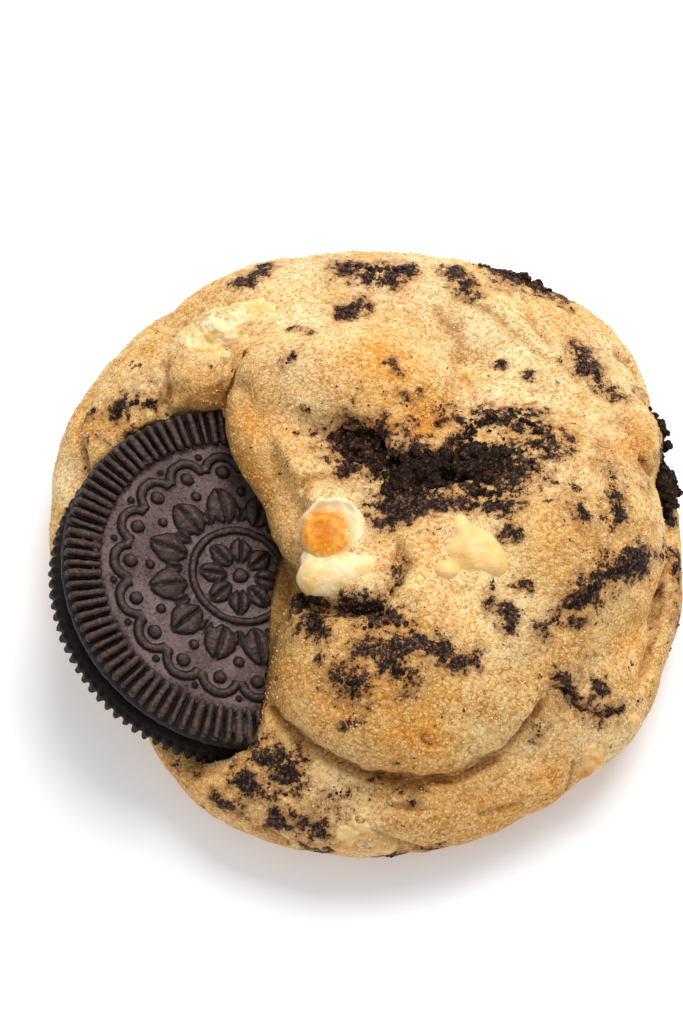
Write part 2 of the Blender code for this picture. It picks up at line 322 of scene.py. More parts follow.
def lump(name, middle, half_sizes, turn=0.0, squareness=2.0, detail=5, lean=0.0):
    """One round lump of dough. A squareness over 2 makes it flatter on top."""
    deselect_all()
    bpy.ops.mesh.primitive_ico_sphere_add(subdivisions=detail, radius=1.0)
    made = bpy.context.object
    made.name = name
    shape = points_of(made) * MM
    across = np.hypot(shape[:, 0], shape[:, 1])
    shape *= ((across**squareness + abs(shape[:, 2]) ** squareness) ** (-1 / squareness))[:, None]
    bearing = np.degrees(np.arctan2(shape[:, 1], shape[:, 0])) % 360
    narrowing = 1 - lean * falloff(bearing - LEAN_TOWARDS, LEAN_SPREAD)
    shape[:, :2] *= narrowing[:, None]
    shape *= np.array(half_sizes)
    angle = math.radians(turn)
    turned = shape.copy()
    turned[:, 0] = shape[:, 0] * math.cos(angle) - shape[:, 1] * math.sin(angle)
    turned[:, 1] = shape[:, 0] * math.sin(angle) + shape[:, 1] * math.cos(angle)
    set_points(made, turned + np.array(middle))
    return made


def broken_edge(along):
    """Distance of the sandwich cookie's broken edge from its centre line."""
    share = (along + WAFER_RADIUS) / (2 * WAFER_RADIUS)
    bow = BREAK_BULGE * math.sin(3 * math.pi * share)
    return BREAK_FOOT + BREAK_LEAN * (along + WAFER_RADIUS) + bow


def slab(name, outline, levels):
    """A closed prism over an outline. Each level is a height and how far the outline's copy there
    is moved sideways, in millimetres."""
    deselect_all()
    mesh = bpy.data.meshes.new(name)
    made = bpy.data.objects.new(name, mesh)
    bpy.context.scene.collection.objects.link(made)
    builder = bmesh.new()
    rings = []
    for height, shift_x, shift_y in levels:
        rings.append([builder.verts.new((x + shift_x, y + shift_y, height)) for x, y in outline])
    builder.faces.new(rings[0])
    builder.faces.new(rings[-1])
    for low, high in zip(rings, rings[1:]):
        for at in range(len(outline)):
            after = (at + 1) % len(outline)
            builder.faces.new((low[at], low[after], high[after], high[at]))
    bmesh.ops.scale(builder, vec=(MM, MM, MM), verts=builder.verts)
    bmesh.ops.recalc_face_normals(builder, faces=builder.faces)
    builder.to_mesh(mesh)
    builder.free()
    return made


def arc(first, last, radius, steps):
    """Points of a round outline from one bearing up to another, without the last."""
    angles = [first + (last - first) * step / steps for step in range(steps)]
    return [(radius * math.cos(angle), radius * math.sin(angle)) for angle in angles]


def carve(piece, cutter):
    modify(piece, "BOOLEAN", operation="DIFFERENCE", solver="MANIFOLD", object=cutter)
    bpy.data.objects.remove(cutter, do_unlink=True)


def smooth_route(corners, spacing=0.35):
    """A smooth line through a few corners, as closely spaced points."""
    corners = [np.array(corner, float) for corner in corners]
    if len(corners) == 1:
        return np.array(corners)
    ends = [2 * corners[0] - corners[1]] + corners + [2 * corners[-1] - corners[-2]]
    line = []
    for one, two, three, four in zip(ends, ends[1:], ends[2:], ends[3:]):
        steps = max(2, int(np.linalg.norm(three - two) / spacing))
        for step in range(steps):
            t = step / steps
            line.append(
                0.5
                * (
                    2 * two
                    + (three - one) * t
                    + (2 * one - 5 * two + 4 * three - four) * t**2
                    + (3 * two - one - 3 * three + four) * t**3
                )
            )
    line.append(corners[-1])
    return np.array(line)


def surface_of(piece):
    """A search tree over the piece's faces, in metres."""
    mesh = piece.data
    return BVHTree.FromPolygons(
        [vertex.co for vertex in mesh.vertices], [face.vertices[:] for face in mesh.polygons]
    )


def onto(surface, line):
    """The nearest points on a surface to a line's points, and the surface's normals there."""
    spots, normals = [], []
    for point in line:
        spot, normal, _, _ = surface.find_nearest(Vector(point) * MM)
        spots.append(np.array(spot) / MM)
        normals.append(np.array(normal))
    return np.array(spots), np.array(normals)


def from_line(points, spots, normals, reach):
    """For the points within reach of a line on the surface: which they are, their distance from
    it, the side they lie on (positive is left of its direction) and how far along it they are."""
    near = np.flatnonzero(
        np.all((points > spots.min(0) - reach) & (points < spots.max(0) + reach), axis=1)
    )
    if len(near) == 0:
        return near, near, near, near
    best = np.full(len(near), 1e9)
    at = np.zeros(len(near), int)
    for number, spot in enumerate(spots):
        distance = np.linalg.norm(points[near] - spot, axis=1)
        closer = distance < best
        best[closer] = distance[closer]
        at[closer] = number
    kept = best < reach
    near, best, at = near[kept], best[kept], at[kept]
    ahead = np.gradient(spots, axis=0) if len(spots) > 1 else np.tile((1.0, 0, 0), (1, 1))
    left = np.cross(normals, ahead)
    side = np.sign(np.sum((points[near] - spots[at]) * left[at], axis=1))
    along = at / max(1, len(spots) - 1)
    return near, best, side, along


def crease_line(corners, sway=0.45, sway_length=1.9):
    """The line of a crease, wandering a little."""
    line = smooth_route(corners)
    line[:, 0] += sway * bumps(line, sway_length, 51.0)
    line[:, 1] += sway * bumps(line, sway_length, 52.0)
    return line


def crease(points, surface, corners, depth, width, into, lip, lip_width, taper=0.15):
    """Presses a groove along a line. `into` is the direction it goes in, instead of straight
    down. A lip can be raised along its left side. Both ends taper off."""
    spots, normals = onto(surface, crease_line(corners))
    reach = max(3 * width, 3.2 * lip_width if lip else 0.0)
    near, distance, side, along = from_line(points, spots, normals, reach)
    if len(near) == 0:
        return points
    fade = np.clip(np.minimum(along, 1 - along) / taper, 0, 1)
    fade = fade * fade * (3 - 2 * fade)
    way = np.array(into, float) if into else -normals.mean(0)
    way /= np.linalg.norm(way)
    wobble = 1 + 0.35 * bumps(points[near], 2.2, 5.0)
    points[near] += (depth * wobble * fade * falloff(distance, width * wobble))[:, None] * way
    if lip:
        share = distance / lip_width
        points[near] -= (lip * fade * (side > 0) * share * np.exp(1 - share))[:, None] * way
    return points


def add_group(piece, name, weights):
    """A vertex group with its weights rounded to hundredths."""
    group = piece.vertex_groups.new(name=name)
    weights = np.round(weights, 2)
    for level in np.unique(weights[weights > 0]):
        group.add(np.flatnonzero(weights == level).tolist(), float(level), "REPLACE")
    return group.name


folds = []
for name, shape in FOLDS.items():
    folds.append(lump(name, *shape, lean=LEAN_DEPTH if name == "base" else 0.0))
for name, lumps in CHIPS.items():
    for (x, y, z), half_sizes, turn in lumps:
        margin = CHIP_BED if z > FOOT_TOP else FOOT_BED
        bed = [half + margin for half in half_sizes]
        folds.append(lump("bed_" + name, (x, y, z - BED_SINK), bed, turn, detail=4))
dough = join(folds, "cookie_dough")
modify(dough, "REMESH", mode="VOXEL", voxel_size=FIRST_VOXEL * MM)
modify(dough, "SMOOTH", factor=0.5, iterations=12)

# The sandwich cookie's slot, and the air over the part of it that lies outside the dough
reach = WAFER_RADIUS + SEAT_PLAY
seat_along = [-reach + 2 * reach * step / 12 for step in range(13)]
seat_outline = [(min(broken_edge(along), SEAT_DEPTH) + 0.2, along) for along in seat_along]
seat_outline = [(x, y) for x, y in seat_outline if math.hypot(x, y) < reach]
first = math.atan2(seat_outline[-1][1], seat_outline[-1][0])
last = math.atan2(seat_outline[0][1], seat_outline[0][0]) + 2 * math.pi
seat_outline += arc(first, last, reach, 60)[1:]
slot = slab("slot", seat_outline, [(-WAFER_SPACING - 1.5, 0, 0), (1.2, 0, 0)])
slot.data.transform(WAFER_PLACE)
carve(dough, slot)
air_outline = list(FLAP_EDGE)
first = math.atan2(-reach, broken_edge(-reach))
last = math.atan2(FLAP_EDGE[0][1], FLAP_EDGE[0][0]) - 2 * math.pi
air_outline += arc(first, last, reach + 0.4, 40)
air = slab("air", air_outline, [(0, 0, 0), (1.2, 0.5, 0), (2.4, 0.2, 0), (5, 0, 0), (26, 0, 0)])
air.data.transform(WAFER_PLACE)
carve(dough, air)
for hollow in (CREVICE, CREVICE_END, UNDER_LIP, UNDERCUT):
    carve(dough, lump("hollow", *hollow, detail=4))
rolled = [lump("roll", middle, (radius, radius, radius), detail=4) for middle, radius in FLAP_ROLL]
dough = join([dough] + rolled, "cookie_dough")
modify(dough, "REMESH", mode="VOXEL", voxel_size=FIRST_VOXEL * MM)
carve(dough, lump("gap", *GAP, detail=4))


def over_wafer(outline, height):
    """An outline in the wafer's own plane, raised above it and put in its place."""
    return np.array([WAFER_PLACE @ (Vector((x, y, height)) * MM) for x, y in outline]) / MM


# The flap's edge and the hollow's rim are rounded more than the rest
FLAP_ROUNDING, RIM_ROUNDING = 5.0, 2.6
points = points_of(dough)
flap_line = smooth_route(over_wafer(FLAP_EDGE, 3.0))
rim = over_wafer(air_outline[len(FLAP_EDGE):], 2.0)
weights = 0.8 * falloff(distance_to(points, flap_line[::6]), FLAP_ROUNDING) * (points[:, 2] > 9)
rim_weights = falloff(distance_to(points, rim), RIM_ROUNDING) * (points[:, 2] > 6)
rounded = add_group(dough, "rounded", np.maximum(weights, rim_weights))
modify(dough, "SMOOTH", factor=0.5, iterations=14, vertex_group=rounded)
modify(dough, "SMOOTH", factor=0.5, iterations=5)

# Where folds overlap: the line's corners, how deep and wide the groove is, the way in (or None for
# straight down), and how high and wide the raised lip is
CREASES = (
    # the front fold's lower edge, over the base
    (((-13.0, -21.0, 13), (-8.1, -26.0, 13), (-2.1, -30.0, 12.5), (3.9, -31.6, 12.5),
      (8.8, -31.9, 12.5)),
     1.8, 0.9, (0.1, 0.8, -0.7), 0.6, 2.0),
    (((3.9, -31.7, 12.5), (8.8, -32.0, 12.5), (13.6, -30.2, 13), (17.3, -27.4, 14),
      (21.6, -22.0, 17)),
     2.4, 0.6, (-0.3, 0.8, -0.7), 0.7, 1.6),
    # its short continuation to the right
    (((20.6, -21.4, 17.5), (23.5, -22.0, 17), (25.5, -23.4, 15), (28.6, -24.0, 13.5),
      (31.0, -22.8, 12.5)),
     0.9, 0.5, (0, 0.6, -0.8), 0.2, 1.2),
    # between the left knob and the pillow
    (((-15.8, 22.6, 23), (-16.4, 20.6, 22), (-17.0, 18.4, 21), (-17.8, 16.4, 19),
      (-18.0, 15.0, 17)),
     2.6, 0.9, (0, 0.2, -1), 0.0, 1.0),
    # the pillow's torn lower edge, over the crevice
    (((-5.6, 10.6, 21.5), (-2.0, 10.2, 21), (2.0, 9.4, 21.5), (6.6, 9.6, 22), (10.0, 10.6, 22)),
     2.0, 1.2, (0, 0.75, -0.65), 0.5, 1.6),
    # behind the pillow's back left ridge
    (((-9.6, 27.0, 22.4), (-11.4, 28.0, 22), (-14.9, 29.6, 21), (-19.8, 29.3, 19.4),
      (-23.4, 27.8, 18),
      (-26.4, 25.0, 17.4)), 1.0, 0.9, None, 0.8, 1.3),
    # the hollow right of the pillow
    (((12.8, 15.4, 22.5), (12.6, 20.6, 22), (10.8, 24.6, 22.5), (8.0, 28.0, 23)),
     1.1, 0.9, None, 0.5, 1.5),
    (((23.4, 17.8, 21.2), (20.8, 16.0, 22.4), (18.0, 14.8, 23), (15.4, 14.6, 23),
      (12.8, 16.4, 22.5)),
     1.3, 0.8, None, 0.5, 1.4),
    # two bands in the back right
    (((9.2, 29.4, 22), (13.6, 28.6, 21.5), (17.0, 26.0, 21), (20.6, 22.8, 20.6),
      (23.4, 20.6, 20.6)),
     0.45, 0.7, None, 0.3, 1.4),
    (((19.4, 30.4, 18), (21.2, 26.2, 19), (23.6, 22.6, 19.6)),
     0.7, 0.6, None, 0.2, 1.2),
    # the right fold's edge, over the base
    (((29.5, 26.0, 15.5), (34.3, 21.6, 14), (36.6, 15.0, 13.5), (36.6, 8.0, 13)),
     1.5, 0.9, (-0.8, 0, -0.5), 0.3, 1.4),
    (((36.6, 8.0, 12.5), (36.9, 2.3, 12.5), (36.0, -7.0, 12), (34.5, -14.1, 11.5),
      (32.4, -20.0, 11)),
     1.7, 0.8, (-0.8, 0, -0.5), 0.3, 1.4),
    # under the golden knob
    (((33.4, 8.6, 19), (34.8, 7.2, 17.5), (36.0, 7.6, 15.5)), 0.9, 0.5, None, 0.4, 1.0),
    # the upper left rim, behind the sandwich cookie
    (((-33.6, 20.0, 12), (-35.2, 15.0, 12.5), (-34.6, 9.6, 13.5), (-35.6, 4.0, 13)),
     0.7, 0.8, None, 0.3, 1.2),
    (((-26.0, 22.6, 17.8), (-24.6, 20.6, 18.4), (-25.4, 17.4, 18.4), (-24.6, 13.4, 17)),
     1.5, 0.8, None, 0.0, 1.2),
    # beside the chips
    (((3.8, -5.8, 23.6), (4.4, -8.4, 24), (4.1, -11.0, 23.6), (3.0, -13.8, 23)),
     2.0, 0.55, (-0.5, 0, -0.8), 1.0, 1.0),
    (((-8.6, -11.0, 20), (-5.4, -13.2, 21), (-1.0, -14.0, 21.6), (3.4, -14.4, 22)),
     2.2, 1.2, None, 0.0, 1.4),
    (((-9.6, 0.8, 23), (-7.0, 3.2, 23.4), (-3.6, 3.4, 23), (-0.4, 1.0, 23)),
     0.8, 0.9, None, 0.0, 1.4),
    # small tears
    (((-0.4, -26.4, 20.6), (-0.8, -28.0, 19.4), (-0.2, -29.6, 17.6)), 0.5, 0.3, None, 0.0, 1.0),
    (((6.9, -28.6, 19.4), (6.4, -29.4, 18.6), (7.6, -30.0, 17.6)), 0.8, 0.5, None, 0.0, 1.0),
    (((-3.4, -33.0, 13.4), (0.6, -33.6, 13.2), (3.6, -35.4, 12.2),
      (8.0, -35.6, 11.4)), 0.7, 0.4, None, 0.2, 1.0),
    (((13.0, -35.4, 10), (16.6, -34.6, 10), (19.0, -33.8, 9.4)), 0.6, 0.4, None, 0.0, 1.0),
    (((25.2, -28.2, 11), (24.4, -30.0, 8.5), (24.6, -31.2, 6.5)), 0.9, 0.4, None, 0.0, 1.0),
    (((-3.4, -37.6, 9.5), (1.4, -37.4, 9.5), (4.8, -38.2, 8),
      (7.4, -38.4, 6)), 0.8, 0.45, None, 0.0, 1.0),
    (((-14.0, -35.6, 8.5), (-11.0, -36.8, 8), (-9.4, -38.0, 6)), 0.7, 0.5, None, 0.0, 1.0),
)


def press_creases(piece, depth_share, width_share, lip_share):
    """The piece's points with every crease pressed into them."""
    points = points_of(piece)
    surface = surface_of(piece)
    for corners, depth, width, into, lip, lip_width in CREASES:
        sizes = (depth * depth_share, width * width_share, into, lip * lip_share, lip_width)
        points = crease(points, surface, corners, *sizes)
    return points


# Rounder places and dimples: middle, radius and height
SWELLS = (
    ((33.6, 12.6, 19.6), 4.0, 0.9),
    ((-4.6, -36.6, 8.0), 5.0, 0.5),
    ((13.4, 24.0, 22.4), 3.4, -0.5),
    ((-11.8, 8.2, 21.6), 2.8, 0.7),
    ((10.2, 23.6, 23.4), 2.6, -0.7),
    ((-1.4, 1.6, 23.0), 1.6, 0.9),
    ((5.4, -4.4, 24.0), 2.2, 0.5),
    ((1.6, -6.6, 23.0), 2.2, 0.5),
    ((2.4, -11.0, 22.6), 1.8, -0.9),
    ((12.0, -18.0, 22.0), 7.0, 0.5),
    ((2.0, -27.0, 19.0), 7.0, 0.6),
)
# The creases are pressed twice: soft and wide with their lips, then sharper
points = press_creases(dough, 0.6, 1.3, 1.0)
for middle, radius, height in SWELLS:
    distance = np.linalg.norm(points - np.array(middle), axis=1)
    points[:, 2] += height * falloff(distance, radius)
set_points(dough, points)
modify(dough, "REMESH", mode="VOXEL", voxel_size=LAST_VOXEL * MM)
modify(dough, "SMOOTH", factor=0.5, iterations=2)
set_points(dough, press_creases(dough, 0.85, 0.62, 0.0))

# Crumbly torn places: middle, radius and strength
TORN = (
    ((3.0, 6.0, 21.5), 9.0, 1.0),
    ((-3.0, -12.0, 21.5), 6.0, 0.9),
    ((2.6, -4.6, 23.6), 5.0, 1.3),
    ((-17.0, 20.0, 21.0), 4.4, 1.3),
    ((-26.0, 18.0, 18.0), 6.0, 0.7),
    ((-6.0, -31.0, 11.0), 9.0, 0.8),
    ((0.0, -35.0, 10.0), 8.0, 0.7),
    ((24.6, -29.6, 8.0), 5.0, 0.9),
    ((36.0, 8.0, 14.0), 5.0, 0.8),
    ((12.0, 12.0, 22.5), 6.0, 0.6),
    ((28.0, 2.0, 22.0), 6.0, 0.5),
    ((-12.0, 30.0, 20.0), 6.0, 0.4),
)
# The uneven skin: soft waves, small bumps, pits and cracks, in millimetres
points = points_of(dough)
waves = 0.34 * bumps(points, 7.0, 1.0) + 0.20 * bumps(points, 3.2, 2.0)
fine = bumps(points, 1.5, 3.0, octaves=2)
pits = np.clip(bumps(points, 2.6, 4.0) - 0.42, 0, 1)
cracks = np.clip(1 - abs(bumps(points, 4.6, 6.0, octaves=2)) * 9, 0, 1)
cracks *= np.clip(bumps(points, 9.0, 7.0), 0, 1)
skin = waves + (0.07 + 0.22 * spread(points, TORN)) * fine - 0.9 * pits - 0.45 * cracks
set_points(dough, points + normals_of(dough) * skin[:, None])


def cut_off(piece, place, up):
    """Cuts the piece along a plane, closes it there, and keeps what lies above."""
    take(piece)
    bpy.ops.object.mode_set(mode="EDIT")
    bpy.ops.mesh.select_all(action="SELECT")
    bpy.ops.mesh.bisect(plane_co=place, plane_no=up, use_fill=True, clear_inner=True)
    bpy.ops.object.mode_set(mode="OBJECT")


cut_off(dough, (0, 0, 0), (0, 0, 1))

# Toasted places and painted shade, pale places, clean ones and smeared ones: middle, radius and
# strength
TOAST_AND_SHADE = (
    # the pillow and the tail
    ((2.4, 17.4, 26.6), 6.4, 0.8),
    ((6.8, 11.8, 24.2), 3.6, 1.0),
    ((5.8, 10.4, 23.6), 2.2, 1.45),
    ((8.8, 11.4, 23.2), 1.6, 1.3),
    ((2.2, 10.2, 23.8), 1.8, 1.35),
    ((-15.1, 23.0, 21.4), 2.8, 0.7),
    # painted shade: these three darken the tail's left flank, down towards the wafer
    ((-14.0, 12.0, 21.8), 4.6, 0.7),
    ((-15.2, 8.6, 20.4), 4.4, 0.7),
    ((-14.4, 4.0, 20.4), 4.4, 0.8),
    ((-21.2, 18.2, 19.4), 3.4, 0.8),
    # the back and the left rim
    ((5.5, 31.8, 22.2), 3.0, 0.2),
    ((-27.0, 25.0, 16.8), 5.0, 0.3),
    ((-34.6, 15.2, 14.4), 2.8, 0.4),
    # the right side
    ((33.0, 10.2, 19.8), 3.8, 0.65),
    ((33.6, 8.0, 19.3), 3.6, 0.6),
    ((7.4, -6.2, 24.2), 3.2, 0.6),
    ((2.4, -7.4, 23.4), 2.6, 0.6),
    ((20.9, -2.1, 25.3), 4.0, 0.4),
    ((32.0, -14.4, 14.7), 4.5, 0.6),
    ((35.2, -7.8, 15.1), 4.0, 0.6),
    # the front
    ((-8.6, -22.0, 18.4), 4.5, 0.5),
    ((1.5, -25.5, 21.6), 5.0, 0.5),
    ((-4.6, -26.0, 19.4), 4.0, 0.7),
    ((6.3, -29.0, 18.9), 5.5, 0.75),
    ((11.0, -23.0, 21.8), 5.0, 0.45),
    ((-2.1, -38.0, 5.6), 3.6, 0.8),
    ((16.0, -35.0, 8.5), 5.0, 0.6),
    ((23.4, -31.0, 8.8), 5.0, 0.8),
    ((-20.2, -31.8, 9.1), 4.5, 0.6),
)
PALE = (
    # the back
    ((-8.0, 34.0, 20.5), 5.4, 0.75),
    ((-7.0, 25.5, 23.3), 3.4, 0.9),
    ((0.5, 30.8, 22.6), 4.4, 0.8),
    ((8.0, 29.4, 22.4), 4.4, 0.75),
    ((6.6, 35.0, 20.4), 5.0, 0.7),
    ((14.0, 25.6, 21.6), 4.4, 0.85),
    ((18.8, 22.6, 20.4), 5.0, 0.85),
    ((30.0, 24.6, 17.4), 4.6, 0.65),
    ((33.4, 19.5, 17.0), 4.2, 0.6),
    ((-28.0, 20.0, 18.0), 4.0, 0.4),
    ((-38.0, 9.0, 11.4), 3.2, 0.9),
    # the pillow
    ((-9.0, 17.6, 26.6), 4.5, 0.6),
    ((-2.4, 22.8, 26.2), 4.0, 0.6),
    ((8.8, 20.6, 24.2), 4.0, 0.6),
    ((-6.6, 12.4, 25.2), 3.6, 0.5),
    # beside the crevice
    ((15.2, 15.0, 22.2), 3.8, 0.95),
    ((21.8, 15.8, 20.9), 4.0, 0.9),
    ((27.4, 13.6, 21.1), 3.6, 0.4),
    ((22.8, 3.1, 25.2), 3.4, 0.4),
    ((-2.1, 1.0, 22.6), 2.6, 0.8),
    ((12.8, -6.6, 24.6), 3.6, 0.5),
    # the front
    ((18.3, -15.2, 22.1), 5.0, 0.5),
    ((25.6, -21.7, 16.1), 3.5, 0.4),
    ((27.6, -27.0, 11.0), 3.6, 0.7),
    ((-3.9, -32.3, 13.3), 4.0, 0.5),
    ((20.0, -27.0, 14.0), 5.0, 0.4),
)
